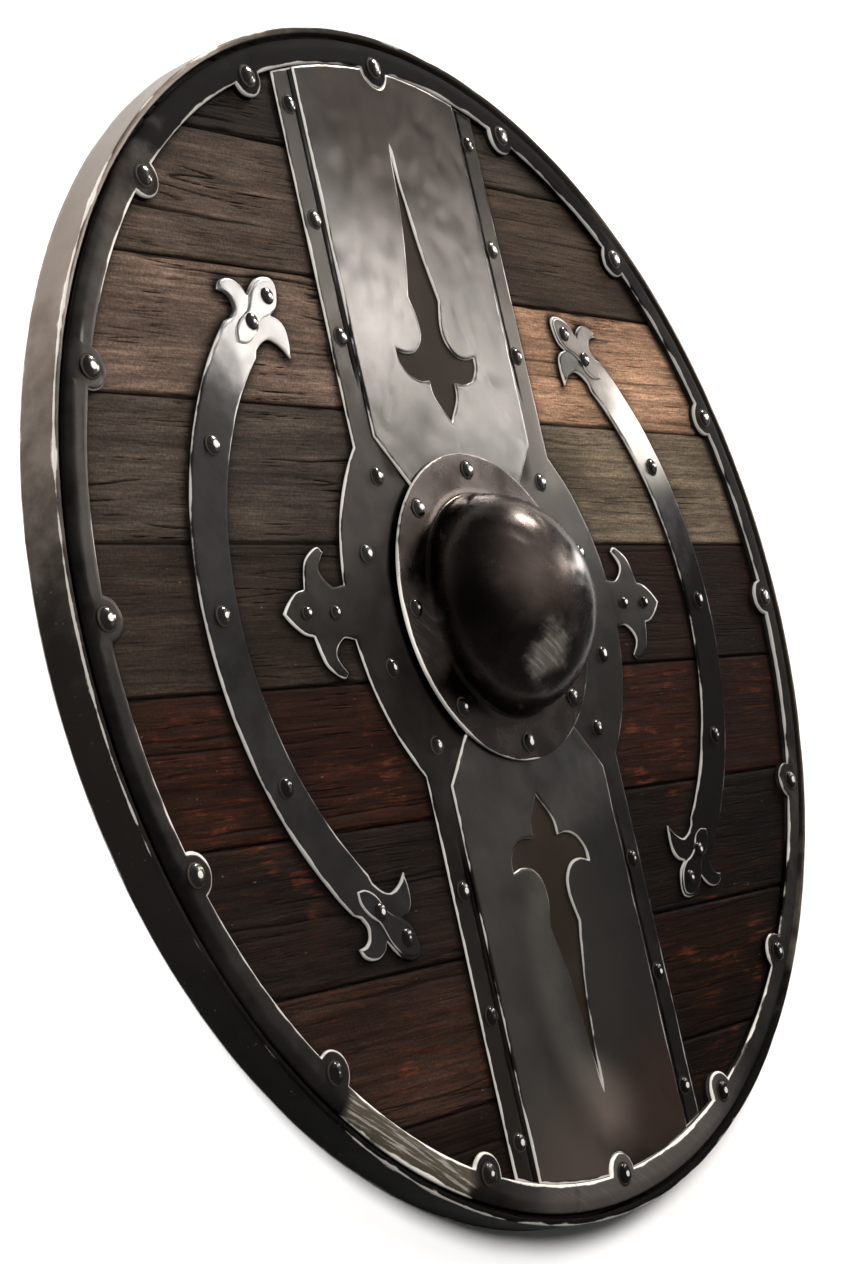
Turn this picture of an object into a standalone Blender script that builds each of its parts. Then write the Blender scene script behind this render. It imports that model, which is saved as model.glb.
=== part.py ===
"""Round wooden shield with a steel edge, a wide steel band, a boss and two curved straps.

Metres, +Z up. The shield lies on its back with the boss up. X runs along the planks and
Y runs up the shield. The origin is on the floor, under the middle of the boss.
"""

import math

import bmesh
import bpy

# Gap between pieces that touch
CLEARANCE = 0.0003

# Edge of the shield: a hoop round the side, and a flat rim plate on the front
OUTER_RADIUS = 0.380
HOOP_WALL = 0.004
BACK_RECESS = 0.0097
RIM_GROOVE = 0.003
RIM_PLATE_WIDTH = 0.017
RIM_PLATE_THICKNESS = 0.0045
RIM_PLATE_PROUD = 0.001
LOBE_COUNT = 16
LOBE_RADIUS = 0.013
LOBE_INSET = 0.001

# Wooden board, of planks laid side by side, with a hole for the hand
BOARD_THICKNESS = 0.012
PLANK_COUNT = 9

# Band plate: a band from rim to rim with a disc in its middle and a fleur-de-lis each side
BAND_WIDTH = 0.214
BAND_THICKNESS = 0.0015
DISC_MARGIN = 0.048
SIDE_FLEUR_REACH = 0.061

# Raised panels on the band, above and below the boss, with a fleur-de-lis cut through each
STRIP_WIDTH = 0.021
PANEL_THICKNESS = 0.002
PANEL_SHOULDER_MARGIN = 0.009
PANEL_NECK_WIDTH = 0.080
PANEL_HOLE_MARGIN = 0.006
CUT_BOSS_MARGIN = 0.021
CUT_RIM_MARGIN = 0.051

# Boss: a domed sheet with a flat flange, riveted over the hand hole
FLANGE_WIDTH = 0.028
DOME_RADIUS = 0.071
DOME_HEIGHT = 0.058
BOSS_SHEET = 0.002
HAND_HOLE_SETBACK = 0.009
BOSS_RIVET_COUNT = 8
BOSS_RIVET_INSET = 0.011

# Curved straps, one on each side, each with a fleur-de-lis at both ends
STRAP_RADIUS = 0.226
STRAP_WIDTH = 0.030
STRAP_THICKNESS = 0.0022
STRAP_RIM_GAP = 0.079
STRAP_SWEEP = math.radians(48.6)
STRAP_RIVET_STEP = math.radians(25.5)
STRAP_FLEUR_LENGTH = 0.046
STRAP_SHOULDER = 0.0115

# Rivet heads
RIM_RIVET_RADIUS = 0.0075
RIVET_RADIUS = 0.0065
RIVET_HEIGHT = 0.0038
RIVET_CROWN = (0.62, 0.72)
STRIP_RIVET_COUNT = 3
STRIP_RIVET_MARGIN = 0.0235
DISC_RIVET_ANGLES = (16.4, 42.5)

# Grip on the back: a batten across the planks with a round handle over the hand hole
GRIP_END_MARGIN = 0.076
GRIP_WIDTH = 0.036
GRIP_END_WIDTH = 0.026
GRIP_FLOOR_GAP = 0.0008
HANDLE_WIDTH = 0.030
HANDLE_RISE = 0.0015
HANDLE_END_GAP = 0.004

# Number of flats round the circles, and along the arcs
RIM_STEPS = 96
BOSS_STEPS = 40
RIVET_STEPS = 8
HANDLE_STEPS = 16
LOBE_STEPS = 8
LOBE_GAP_STEPS = 4
DISC_STEPS = 4
PANEL_STEPS = 8
DOME_STEPS = 7
STRAP_STEPS = 14

# Sizes that follow from those above
HOOP_INNER_RADIUS = OUTER_RADIUS - HOOP_WALL
BOARD_RADIUS = HOOP_INNER_RADIUS - CLEARANCE
PLANK_WIDTH = 2 * BOARD_RADIUS / PLANK_COUNT
RIM_OUTER_RADIUS = HOOP_INNER_RADIUS - RIM_GROOVE
RIM_INNER_RADIUS = RIM_OUTER_RADIUS - RIM_PLATE_WIDTH
LOBE_CIRCLE = RIM_INNER_RADIUS + LOBE_INSET
BOARD_BACK = BACK_RECESS
BOARD_FRONT = BOARD_BACK + BOARD_THICKNESS
RIM_BACK = BOARD_FRONT + CLEARANCE
RIM_FRONT = RIM_BACK + RIM_PLATE_THICKNESS
HOOP_DEPTH = RIM_FRONT - RIM_PLATE_PROUD
BAND_BACK = BOARD_FRONT + CLEARANCE
BAND_FRONT = BAND_BACK + BAND_THICKNESS
PANEL_BACK = BAND_FRONT + CLEARANCE
PANEL_FRONT = PANEL_BACK + PANEL_THICKNESS
BOSS_BACK = PANEL_FRONT + CLEARANCE
BOSS_FRONT = BOSS_BACK + BOSS_SHEET
STRAP_FRONT = BOARD_FRONT + CLEARANCE + STRAP_THICKNESS
STRAP_CENTRE = RIM_INNER_RADIUS - STRAP_RIM_GAP - STRAP_WIDTH / 2 - STRAP_RADIUS
FLANGE_RADIUS = DOME_RADIUS + FLANGE_WIDTH
HAND_HOLE_RADIUS = DOME_RADIUS - HAND_HOLE_SETBACK
DISC_RADIUS = FLANGE_RADIUS + DISC_MARGIN
PANEL_WIDTH = BAND_WIDTH - 2 * STRIP_WIDTH
PANEL_SHOULDER = FLANGE_RADIUS + PANEL_SHOULDER_MARGIN
PANEL_INNER_RADIUS = HAND_HOLE_RADIUS + PANEL_HOLE_MARGIN
CUT_START = FLANGE_RADIUS + CUT_BOSS_MARGIN
CUT_LENGTH = RIM_INNER_RADIUS - CUT_RIM_MARGIN - CUT_START
DISC_RIVET_CIRCLE = (FLANGE_RADIUS + DISC_RADIUS) / 2
STRIP_RIVET_X = (BAND_WIDTH - STRIP_WIDTH) / 2

# Outlines of the ornaments. Each is a list of smooth runs that meet at corners.
# The fleur of the band, as shares of its reach: (out from the disc, up), upper half
SIDE_FLEUR = (
    ((0.00, 0.27), (0.11, 0.25), (0.18, 0.26), (0.28, 0.33), (0.33, 0.41), (0.30, 0.49), (0.21, 0.59)),
    ((0.21, 0.59), (0.28, 0.64), (0.39, 0.60), (0.51, 0.51), (0.57, 0.38), (0.61, 0.23)),
    ((0.61, 0.23), (0.75, 0.20), (0.90, 0.10), (1.00, 0.00)),
)
# The fleur of a strap, as shares of its length: (away from the boss, along the strap)
STRAP_FLEUR = (
    ((0.27, -0.13), (0.30, 0.02), (0.41, 0.09), (0.53, 0.07), (0.64, -0.01)),
    ((0.64, -0.01), (0.68, 0.11), (0.63, 0.25), (0.52, 0.36), (0.37, 0.41), (0.24, 0.39)),
    ((0.24, 0.39), (0.27, 0.59), (0.25, 0.76), (0.15, 0.93), (0.02, 1.00), (-0.11, 0.91),
     (-0.21, 0.72), (-0.20, 0.53)),
    ((-0.20, 0.53), (-0.33, 0.61), (-0.48, 0.61), (-0.63, 0.50), (-0.77, 0.34)),
    ((-0.77, 0.34), (-0.60, 0.33), (-0.46, 0.28), (-0.35, 0.20), (-0.29, 0.04), (-0.28, -0.13)),
)
# The opening in a panel, as shares of its length: (half width, out from the boss)
PANEL_CUT = (
    ((0.000, 0.000), (0.065, 0.086), (0.076, 0.146)),
    ((0.076, 0.146), (0.130, 0.143), (0.190, 0.162), (0.227, 0.205), (0.232, 0.246)),
    ((0.232, 0.246), (0.178, 0.235), (0.119, 0.246), (0.073, 0.292), (0.065, 0.357), (0.089, 0.443)),
    ((0.089, 0.443), (0.043, 0.632), (0.016, 0.827), (0.000, 1.000)),
)
# Rivets of a fleur, as shares of its size along its axis
SIDE_FLEUR_RIVETS = (0.22, 0.66)
STRAP_FLEUR_RIVETS = (0.12, 0.68)

WOOD_COLOUR = (0.11, 0.065, 0.042, 1.0)
STEEL_COLOUR = (0.10, 0.095, 0.09, 1.0)
DARK_STEEL_COLOUR = (0.055, 0.052, 0.05, 1.0)
GRIP_COLOUR = (0.17, 0.10, 0.06, 1.0)


def clear_scene():
    for obj in list(bpy.data.objects):
        bpy.data.objects.remove(obj, do_unlink=True)


def make_collection(name):
    collection = bpy.data.collections.new(name)
    bpy.context.scene.collection.children.link(collection)
    return collection


def make_material(name, colour, roughness, metallic):
    material = bpy.data.materials.new(name)
    material.use_nodes = True
    material.diffuse_color = colour
    shader = material.node_tree.nodes["Principled BSDF"]
    shader.inputs["Base Color"].default_value = colour
    shader.inputs["Roughness"].default_value = roughness
    shader.inputs["Metallic"].default_value = metallic
    return material


def link_object(name, data, collection):
    obj = bpy.data.objects.new(name, data)
    collection.objects.link(obj)
    return obj


def add_piece(name, mesh, material, collection):
    """A piece of the shield, made of this mesh."""
    piece = link_object(name, mesh, collection)
    mesh.materials.clear()
    mesh.materials.append(material)
    return piece


def add_cutter(name, mesh, collection):
    """A shape that only cuts or joins other pieces."""
    cutter = link_object(name, mesh, collection)
    cutter.hide_render = True
    cutter.display_type = "WIRE"
    return cutter


def combine(piece, other, operation):
    modifier = piece.modifiers.new(operation.title(), "BOOLEAN")
    modifier.operation = operation
    modifier.solver = "EXACT"
    modifier.object = other


def arc(radius, start, end, steps, centre=(0.0, 0.0)):
    """Points along an arc, both ends included, at angles in radians."""
    angles = [start + (end - start) * k / steps for k in range(steps + 1)]
    return [(centre[0] + radius * math.cos(a), centre[1] + radius * math.sin(a)) for a in angles]


def circle(radius, steps):
    return arc(radius, 0.0, 2 * math.pi, steps)[:-1]


def smooth_run(points, steps=2):
    """Points along a smooth line through these points, by a Catmull-Rom curve."""
    before = [2 * a - b for a, b in zip(points[0], points[1])]
    after = [2 * a - b for a, b in zip(points[-1], points[-2])]
    padded = [before, *points, after]
    run = []
    for p, q, r, s in zip(padded, padded[1:], padded[2:], padded[3:]):
        for k in range(steps):
            t = k / steps
            run.append(tuple(
                0.5 * (2 * b + (c - a) * t + (2 * a - 5 * b + 4 * c - d) * t ** 2
                       + (3 * b - a - 3 * c + d) * t ** 3)
                for a, b, c, d in zip(p, q, r, s)))
    run.append(points[-1])
    return run


def ornament(runs, size):
    """Outline of an ornament at this size, from its runs in shares of that size."""
    points = []
    for run in runs:
        points += smooth_run(run)[:-1]
    points.append(runs[-1][-1])
    return [(size * a, size * b) for a, b in points]


def mirrored(points, flip_x=False, flip_y=False):
    """The points mirrored, in the other order, so that an outline keeps its turn."""
    turned = [(-x if flip_x else x, -y if flip_y else y) for x, y in points]
    return turned[::-1]


def prism(name, outlines, back, front):
    """A mesh between two heights with these outlines. An outline inside another is a hole."""
    curve = bpy.data.curves.new(name + "_outline", "CURVE")
    curve.dimensions = "2D"
    curve.fill_mode = "BOTH"
    curve.extrude = (front - back) / 2
    for outline in outlines:
        spline = curve.splines.new("POLY")
        spline.points.add(len(outline) - 1)
        for point, (x, y) in zip(spline.points, outline):
            point.co = (x, y, 0.0, 1.0)
        spline.use_cyclic_u = True
    guide = link_object(name + "_outline", curve, bpy.context.scene.collection)
    graph = bpy.context.evaluated_depsgraph_get()
    mesh = bpy.data.meshes.new_from_object(guide.evaluated_get(graph))
    bpy.data.objects.remove(guide, do_unlink=True)
    bpy.data.curves.remove(curve)
    mesh.name = name
    shape = bmesh.new()
    shape.from_mesh(mesh)
    bmesh.ops.remove_doubles(shape, verts=shape.verts, dist=0.00001)
    bmesh.ops.translate(shape, verts=shape.verts, vec=(0.0, 0.0, (front + back) / 2))
    bmesh.ops.recalc_face_normals(shape, faces=shape.faces)
    shape.to_mesh(mesh)
    shape.free()
    return mesh


def add_turned(name, profile, steps, material, collection):
    """A piece turned about Z from a profile of (radius, height), down its outer side first.

    A profile that doesn't start and end on the axis is closed into a ring.
    """
    mesh = bpy.data.meshes.new(name)
    edges = [(k, k + 1) for k in range(len(profile) - 1)]
    if profile[0][0] > 0:
        edges.append((len(profile) - 1, 0))
    mesh.from_pydata([(r, 0.0, z) for r, z in profile], edges, [])
    piece = add_piece(name, mesh, material, collection)
    screw = piece.modifiers.new("Turn", "SCREW")
    screw.axis = "Z"
    screw.steps = steps
    screw.render_steps = steps
    screw.use_merge_vertices = True
    screw.merge_threshold = 0.00005
    screw.use_smooth_shade = False
    return piece


def rim_inner_outline(inset=0.0):
    """The rim plate's inner outline, with its round lobes, drawn in by the inset."""
    radius = RIM_INNER_RADIUS - inset
    lobe = LOBE_RADIUS + inset
    reach = math.acos((LOBE_CIRCLE ** 2 + lobe ** 2 - radius ** 2) / (2 * LOBE_CIRCLE * lobe))
    spread = math.asin(lobe * math.sin(reach) / radius)
    pitch = 2 * math.pi / LOBE_COUNT
    points = []
    for k in range(LOBE_COUNT):
        angle = math.pi / 2 + k * pitch
        centre = (LOBE_CIRCLE * math.cos(angle), LOBE_CIRCLE * math.sin(angle))
        inward = angle + math.pi
        points += arc(lobe, inward + reach, inward - reach, LOBE_STEPS, centre)
        points += arc(radius, angle + spread, angle + pitch - spread, LOBE_GAP_STEPS)[1:-1]
    return points


def add_rivet(name, radius, place, material, collection):
    """A rivet head that sits at this place."""
    crown = (RIVET_CROWN[0] * radius, RIVET_CROWN[1] * RIVET_HEIGHT)
    profile = [(0.0, RIVET_HEIGHT), crown, (radius, 0.0), (0.0, 0.0)]
    rivet = add_turned(name, profile, RIVET_STEPS, material, collection)
    rivet.location = place
    return rivet


def add_edge(steel, collection):
    """The hoop round the side and the lobed rim plate on the front, with its rivets."""
    profile = [(OUTER_RADIUS, HOOP_DEPTH), (OUTER_RADIUS, 0.0), (HOOP_INNER_RADIUS, 0.0),
               (HOOP_INNER_RADIUS, HOOP_DEPTH)]
    add_turned("edge_hoop", profile, RIM_STEPS, steel, collection)
    outlines = (circle(RIM_OUTER_RADIUS, RIM_STEPS), rim_inner_outline())
    mesh = prism("rim_plate", outlines, RIM_BACK, RIM_FRONT)
    add_piece("rim_plate", mesh, steel, collection)
    for k in range(LOBE_COUNT):
        angle = math.pi / 2 - 2 * math.pi * k / LOBE_COUNT
        place = (LOBE_CIRCLE * math.cos(angle), LOBE_CIRCLE * math.sin(angle), RIM_FRONT + CLEARANCE)
        add_rivet(f"rim_rivet_{k + 1:02d}", RIM_RIVET_RADIUS, place, steel, collection)


def add_plank(name, left, right, top, bottom, blank, wood, collection):
    """A plank between these sides, cut to the round board with its hand hole."""
    gap = CLEARANCE / 2
    outline = [(left + gap, bottom + gap), (right - gap, bottom + gap),
               (right - gap, top - gap), (left + gap, top - gap)]
    mesh = prism(name, [outline], BOARD_BACK - BOARD_THICKNESS, BOARD_FRONT + BOARD_THICKNESS)
    plank = add_piece(name, mesh, wood, collection)
    combine(plank, blank, "INTERSECT")


def add_board(wood, collection, cutters):
    """The planks. The one in the middle is in two halves, left and right of the hand hole."""
    outlines = (circle(BOARD_RADIUS, RIM_STEPS), circle(HAND_HOLE_RADIUS, BOSS_STEPS))
    blank = add_cutter("board_blank", prism("board_blank", outlines, BOARD_BACK, BOARD_FRONT), cutters)
    for k in range(PLANK_COUNT):
        name = f"plank_{k + 1}"
        top = BOARD_RADIUS - k * PLANK_WIDTH
        bottom = top - PLANK_WIDTH
        if top > 0 > bottom:
            add_plank(name + "_left", -OUTER_RADIUS, 0.0, top, bottom, blank, wood, collection)
            add_plank(name + "_right", 0.0, OUTER_RADIUS, top, bottom, blank, wood, collection)
        else:
            add_plank(name, -OUTER_RADIUS, OUTER_RADIUS, top, bottom, blank, wood, collection)


def band_outline():
    """The band plate's outline, longer than the shield, which the rim's inside cuts off."""
    half = BAND_WIDTH / 2
    meet = math.acos(half / DISC_RADIUS)
    fleur = [(DISC_RADIUS + x, y) for x, y in ornament(SIDE_FLEUR, SIDE_FLEUR_REACH)]
    neck = math.asin(fleur[0][1] / DISC_RADIUS)
    upper = fleur[1:-1]
    right = [(half, -OUTER_RADIUS), *arc(DISC_RADIUS, -meet, -neck, DISC_STEPS)]
    right += [(x, -y) for x, y in upper] + [fleur[-1]] + upper[::-1]
    right += [*arc(DISC_RADIUS, neck, meet, DISC_STEPS), (half, OUTER_RADIUS)]
    return right + mirrored([(x, -y) for x, y in right][::-1], flip_x=True)


def band_rivet_places():
    """The places of the rivets on the band, its disc and its side fleurs."""
    places = []
    last = math.sqrt(RIM_INNER_RADIUS ** 2 - STRIP_RIVET_X ** 2) - STRIP_RIVET_MARGIN
    first = DISC_RADIUS + STRIP_RIVET_MARGIN
    for side in (-1, 1):
        for share in SIDE_FLEUR_RIVETS:
            places.append((side * (DISC_RADIUS + share * SIDE_FLEUR_REACH), 0.0))
        for end in (-1, 1):
            for k in range(STRIP_RIVET_COUNT):
                y = first + (last - first) * k / (STRIP_RIVET_COUNT - 1)
                places.append((side * STRIP_RIVET_X, end * y))
            for angle in map(math.radians, DISC_RIVET_ANGLES):
                places.append((side * DISC_RIVET_CIRCLE * math.cos(angle),
                               end * DISC_RIVET_CIRCLE * math.sin(angle)))
    return places


def rivet_heads(name, places, base, cutters):
    """One shape of all these rivet heads, which stand on the plate from inside it."""
    shape = bmesh.new()
    for x, y in places:
        made = bmesh.ops.create_cone(
            shape, cap_ends=True, segments=RIVET_STEPS, radius1=RIVET_RADIUS,
            radius2=RIVET_CROWN[0] * RIVET_RADIUS, depth=RIVET_HEIGHT)
        bmesh.ops.translate(shape, verts=made["verts"], vec=(x, y, base + RIVET_HEIGHT / 2))
    mesh = bpy.data.meshes.new(name)
    shape.to_mesh(mesh)
    shape.free()
    return add_cutter(name, mesh, cutters)


def add_band(steel, field, collection, cutters):
    """The band plate, from rim to rim behind the panels and the boss, with its rivet heads."""
    outlines = (band_outline(), circle(HAND_HOLE_RADIUS, BOSS_STEPS))
    band = add_piece("band_plate", prism("band_plate", outlines, BAND_BACK, BAND_FRONT), steel, collection)
    combine(band, field, "INTERSECT")
    heads = rivet_heads("band_rivet_heads", band_rivet_places(), BAND_FRONT - BAND_THICKNESS / 2, cutters)
    combine(band, heads, "UNION")


def panel_outlines():
    """The upper panel's outline and its opening. The rim's inside cuts off its far end."""
    half = PANEL_WIDTH / 2
    neck_half = PANEL_NECK_WIDTH / 2
    neck = math.acos(neck_half / PANEL_INNER_RADIUS)
    right = [(half, PANEL_SHOULDER), (half, OUTER_RADIUS)]
    left = mirrored(right, flip_x=True)
    inner = arc(PANEL_INNER_RADIUS, math.pi - neck, neck, PANEL_STEPS)
    cut = [(x, CUT_START + y) for x, y in ornament(PANEL_CUT, CUT_LENGTH)]
    return (right + left + inner, cut + mirrored(cut[1:-1], flip_x=True))


def add_panels(steel, field, collection):
    """The two raised panels: the lower is the upper one mirrored."""
    outlines = panel_outlines()
    for name, flip in (("panel_upper", False), ("panel_lower", True)):
        placed = [mirrored(outline, flip_y=True) if flip else outline for outline in outlines]
        mesh = prism(name, placed, PANEL_BACK, PANEL_FRONT)
        panel = add_piece(name, mesh, steel, collection)
        combine(panel, field, "INTERSECT")


def boss_profile():
    """The boss in section: down the dome and out along the flange, then back on the inside."""
    outer = arc(1.0, math.pi / 2, 0.0, DOME_STEPS)
    inner = arc(1.0, 0.0, math.pi / 2, DOME_STEPS)
    profile = [(DOME_RADIUS * c, BOSS_FRONT + DOME_HEIGHT * s) for c, s in outer]
    profile += [(FLANGE_RADIUS, BOSS_FRONT), (FLANGE_RADIUS, BOSS_BACK)]
    profile += [((DOME_RADIUS - BOSS_SHEET) * c, BOSS_BACK + DOME_HEIGHT * s) for c, s in inner]
    profile[0] = (0.0, profile[0][1])
    profile[-1] = (0.0, profile[-1][1])
    return profile


def add_boss(steel, collection):
    """The boss and the ring of rivets round its flange."""
    add_turned("boss", boss_profile(), BOSS_STEPS, steel, collection)
    ring = FLANGE_RADIUS - BOSS_RIVET_INSET
    for k in range(BOSS_RIVET_COUNT):
        angle = math.pi / 2 - 2 * math.pi * k / BOSS_RIVET_COUNT
        place = (ring * math.cos(angle), ring * math.sin(angle), BOSS_FRONT + CLEARANCE)
        add_rivet(f"boss_rivet_{k + 1}", RIVET_RADIUS, place, steel, collection)


def strap_point(out, along):
    """A place on the right strap near its upper end, from the end of its middle line."""
    radial = (math.cos(STRAP_SWEEP), math.sin(STRAP_SWEEP))
    reach = STRAP_RADIUS + out
    return (STRAP_CENTRE + reach * radial[0] - along * radial[1], reach * radial[1] + along * radial[0])


def strap_outline():
    """The right strap's outline, turning to the left, with a fleur-de-lis at each end."""
    centre = (STRAP_CENTRE, 0.0)
    end = STRAP_SWEEP - STRAP_SHOULDER / STRAP_RADIUS
    outer = arc(STRAP_RADIUS + STRAP_WIDTH / 2, -end, end, STRAP_STEPS, centre)
    inner = arc(STRAP_RADIUS - STRAP_WIDTH / 2, end, -end, STRAP_STEPS, centre)
    fleur = [strap_point(out, along) for out, along in ornament(STRAP_FLEUR, STRAP_FLEUR_LENGTH)]
    return outer + fleur + inner + mirrored(fleur, flip_y=True)


def strap_rivet_places():
    """The places of the right strap's rivets, from the top down."""
    places = [strap_point(0.0, share * STRAP_FLEUR_LENGTH) for share in STRAP_FLEUR_RIVETS][::-1]
    for k in (1, 0):
        angle = k * STRAP_RIVET_STEP
        places.append((STRAP_CENTRE + STRAP_RADIUS * math.cos(angle), STRAP_RADIUS * math.sin(angle)))
    return places + [(x, -y) for x, y in places[:-1][::-1]]


def add_straps(steel, collection):
    """The two straps: the left is the right one mirrored."""
    for side, flip in (("left", True), ("right", False)):
        outline = mirrored(strap_outline(), flip_x=True) if flip else strap_outline()
        name = f"strap_{side}"
        mesh = prism(name, [outline], STRAP_FRONT - STRAP_THICKNESS, STRAP_FRONT)
        add_piece(name, mesh, steel, collection)
        for k, (x, y) in enumerate(strap_rivet_places()):
            place = (-x if flip else x, y, STRAP_FRONT + CLEARANCE)
            add_rivet(f"{name}_rivet_{k + 1}", RIVET_RADIUS, place, steel, collection)


def add_grip(wood, collection, cutters):
    """The batten across the back, with the handle over the hand hole joined to it."""
    ends = BOARD_RADIUS - GRIP_END_MARGIN
    outline = [(GRIP_END_WIDTH / 2, -ends), (GRIP_WIDTH / 2, -HAND_HOLE_RADIUS),
               (GRIP_WIDTH / 2, HAND_HOLE_RADIUS), (GRIP_END_WIDTH / 2, ends)]
    mesh = prism("grip", [outline + mirrored(outline, flip_x=True)], GRIP_FLOOR_GAP, BOARD_BACK - CLEARANCE)
    grip = add_piece("grip", mesh, wood, collection)
    bottom = GRIP_FLOOR_GAP + HANDLE_RISE
    height = BOARD_FRONT - bottom
    shape = bmesh.new()
    bmesh.ops.create_cone(shape, cap_ends=True, segments=HANDLE_STEPS, radius1=0.5, radius2=0.5,
                          depth=2 * (HAND_HOLE_RADIUS - HANDLE_END_GAP))
    handle_mesh = bpy.data.meshes.new("handle")
    shape.to_mesh(handle_mesh)
    shape.free()
    handle = add_cutter("handle", handle_mesh, cutters)
    handle.rotation_euler = (math.pi / 2, 0.0, 0.0)
    handle.scale = (HANDLE_WIDTH, height, 1.0)
    handle.location = (0.0, 0.0, bottom + height / 2)
    combine(grip, handle, "UNION")


def main():
    clear_scene()
    shield = make_collection("round_shield")
    cutters = make_collection("cutters")
    wood = make_material("oak", WOOD_COLOUR, 0.85, 0.0)
    grip_wood = make_material("ash", GRIP_COLOUR, 0.7, 0.0)
    steel = make_material("steel", STEEL_COLOUR, 0.4, 1.0)
    dark_steel = make_material("dark_steel", DARK_STEEL_COLOUR, 0.45, 1.0)
    field_outline = rim_inner_outline(CLEARANCE)
    field_mesh = prism("field", [field_outline], 0.0, 2 * HOOP_DEPTH)
    field = add_cutter("field", field_mesh, cutters)
    add_edge(dark_steel, shield)
    add_board(wood, shield, cutters)
    add_band(dark_steel, field, shield, cutters)
    add_panels(steel, field, shield)
    add_boss(steel, shield)
    add_straps(steel, shield)
    add_grip(grip_wood, shield, cutters)


main()
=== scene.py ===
"""Round wooden shield, dressed: weathered planks, blackened steel and worn bright edges.

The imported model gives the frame, in metres. The shield lies on its back with the boss up,
X runs along the planks and Y runs up the shield. Every piece rides on the body "root".
"""

import contextlib
import logging
import math
import random
from dataclasses import dataclass, field
from enum import Enum
from typing import Callable, Iterator, Sequence

import bpy
import numpy as np
from mathutils import Matrix, Quaternion, Vector


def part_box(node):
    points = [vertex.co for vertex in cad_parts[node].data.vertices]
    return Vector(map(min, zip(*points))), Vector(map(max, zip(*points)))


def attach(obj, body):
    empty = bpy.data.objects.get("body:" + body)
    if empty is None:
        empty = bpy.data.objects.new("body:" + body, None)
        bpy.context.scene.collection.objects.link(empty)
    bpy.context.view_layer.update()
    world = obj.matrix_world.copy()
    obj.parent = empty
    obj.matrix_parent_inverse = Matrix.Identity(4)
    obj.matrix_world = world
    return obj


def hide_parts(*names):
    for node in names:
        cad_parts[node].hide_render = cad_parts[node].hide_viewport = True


LOG = logging.getLogger("round_shield")
BODY = "root"
MM = 0.001
TINY = 1e-9

Point = tuple[float, float]
Colour = tuple[float, float, float]
Relief = Callable[[np.ndarray, np.ndarray], np.ndarray]

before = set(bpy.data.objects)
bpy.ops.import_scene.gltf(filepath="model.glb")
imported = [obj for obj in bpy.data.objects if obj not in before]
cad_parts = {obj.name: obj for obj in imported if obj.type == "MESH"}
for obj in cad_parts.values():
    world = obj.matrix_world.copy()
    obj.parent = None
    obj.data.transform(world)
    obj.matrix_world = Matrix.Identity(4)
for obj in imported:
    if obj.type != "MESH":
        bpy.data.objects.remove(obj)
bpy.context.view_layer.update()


class Slot(Enum):
    """The material slots of the record."""

    DARK_STEEL = "dark_steel"
    WORN_STEEL = "worn_steel"
    RIVET_STEEL = "rivet_steel"
    PLANK_WOOD = "plank_wood"
    GRIP_WOOD = "grip_wood"


class Side(Enum):
    """The two sides of the shield, as seen from the front."""

    LEFT = -1
    RIGHT = 1


def level(node: str) -> tuple[float, float]:
    """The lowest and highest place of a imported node, in metres."""
    low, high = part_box(node)
    return low[2], high[2]


def reach(node: str) -> float:
    """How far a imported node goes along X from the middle, in metres."""
    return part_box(node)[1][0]


# Outlines

def on_circle(radius: float, angle: float, centre: Point = (0.0, 0.0)) -> Point:
    """The place on a circle at an angle in radians."""
    return centre[0] + radius * math.cos(angle), centre[1] + radius * math.sin(angle)


def arc(radius: float, start: float, end: float, steps: int, centre: Point = (0.0, 0.0)) -> list[Point]:
    """Points along an arc, both ends included.

    Args:
        radius: Radius in metres.
        start: First angle in radians.
        end: Last angle in radians.
        steps: Number of stretches.
        centre: Middle of the arc.

    Returns:
        The points, from the first angle to the last.
    """
    return [on_circle(radius, start + (end - start) * k / steps, centre) for k in range(steps + 1)]


def circle(radius: float, steps: int) -> list[Point]:
    """Points round a circle, without a repeated last one."""
    return arc(radius, 0.0, 2 * math.pi, steps)[:-1]


def smooth_run(points: Sequence[Point], steps: int) -> list[Point]:
    """Points along a smooth line through some points, by a Catmull-Rom curve.

    Args:
        points: The points that the line passes through.
        steps: Number of stretches between two of them.

    Returns:
        The points of the line, both ends included.
    """
    before = tuple(2 * a - b for a, b in zip(points[0], points[1]))
    after = tuple(2 * a - b for a, b in zip(points[-1], points[-2]))
    padded = [before, *points, after]
    run = []
    for p, q, r, s in zip(padded, padded[1:], padded[2:], padded[3:]):
        for t in (k / steps for k in range(steps)):
            run.append(tuple(
                0.5 * (2 * b + (c - a) * t + (2 * a - 5 * b + 4 * c - d) * t ** 2
                       + (3 * b - a - 3 * c + d) * t ** 3)
                for a, b, c, d in zip(p, q, r, s)))
    run.append(points[-1])
    return run


def ornament(runs: Sequence[Sequence[Point]], size: float, steps: int = 4) -> list[Point]:
    """Outline of an ornament.

    Args:
        runs: Smooth runs that meet at corners, as shares of the ornament's size.
        size: The ornament's size in metres.
        steps: Number of stretches between two points of a run.

    Returns:
        The points of the outline.
    """
    points = []
    for run in runs:
        points += smooth_run(run, steps)[:-1]
    points.append(runs[-1][-1])
    return [(size * a, size * b) for a, b in points]


def mirrored(points: Sequence[Point], flip_x: bool = False, flip_y: bool = False) -> list[Point]:
    """The points mirrored, in the other order, so that an outline keeps its turn."""
    turned = [(-x if flip_x else x, -y if flip_y else y) for x, y in points]
    return turned[::-1]


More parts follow.
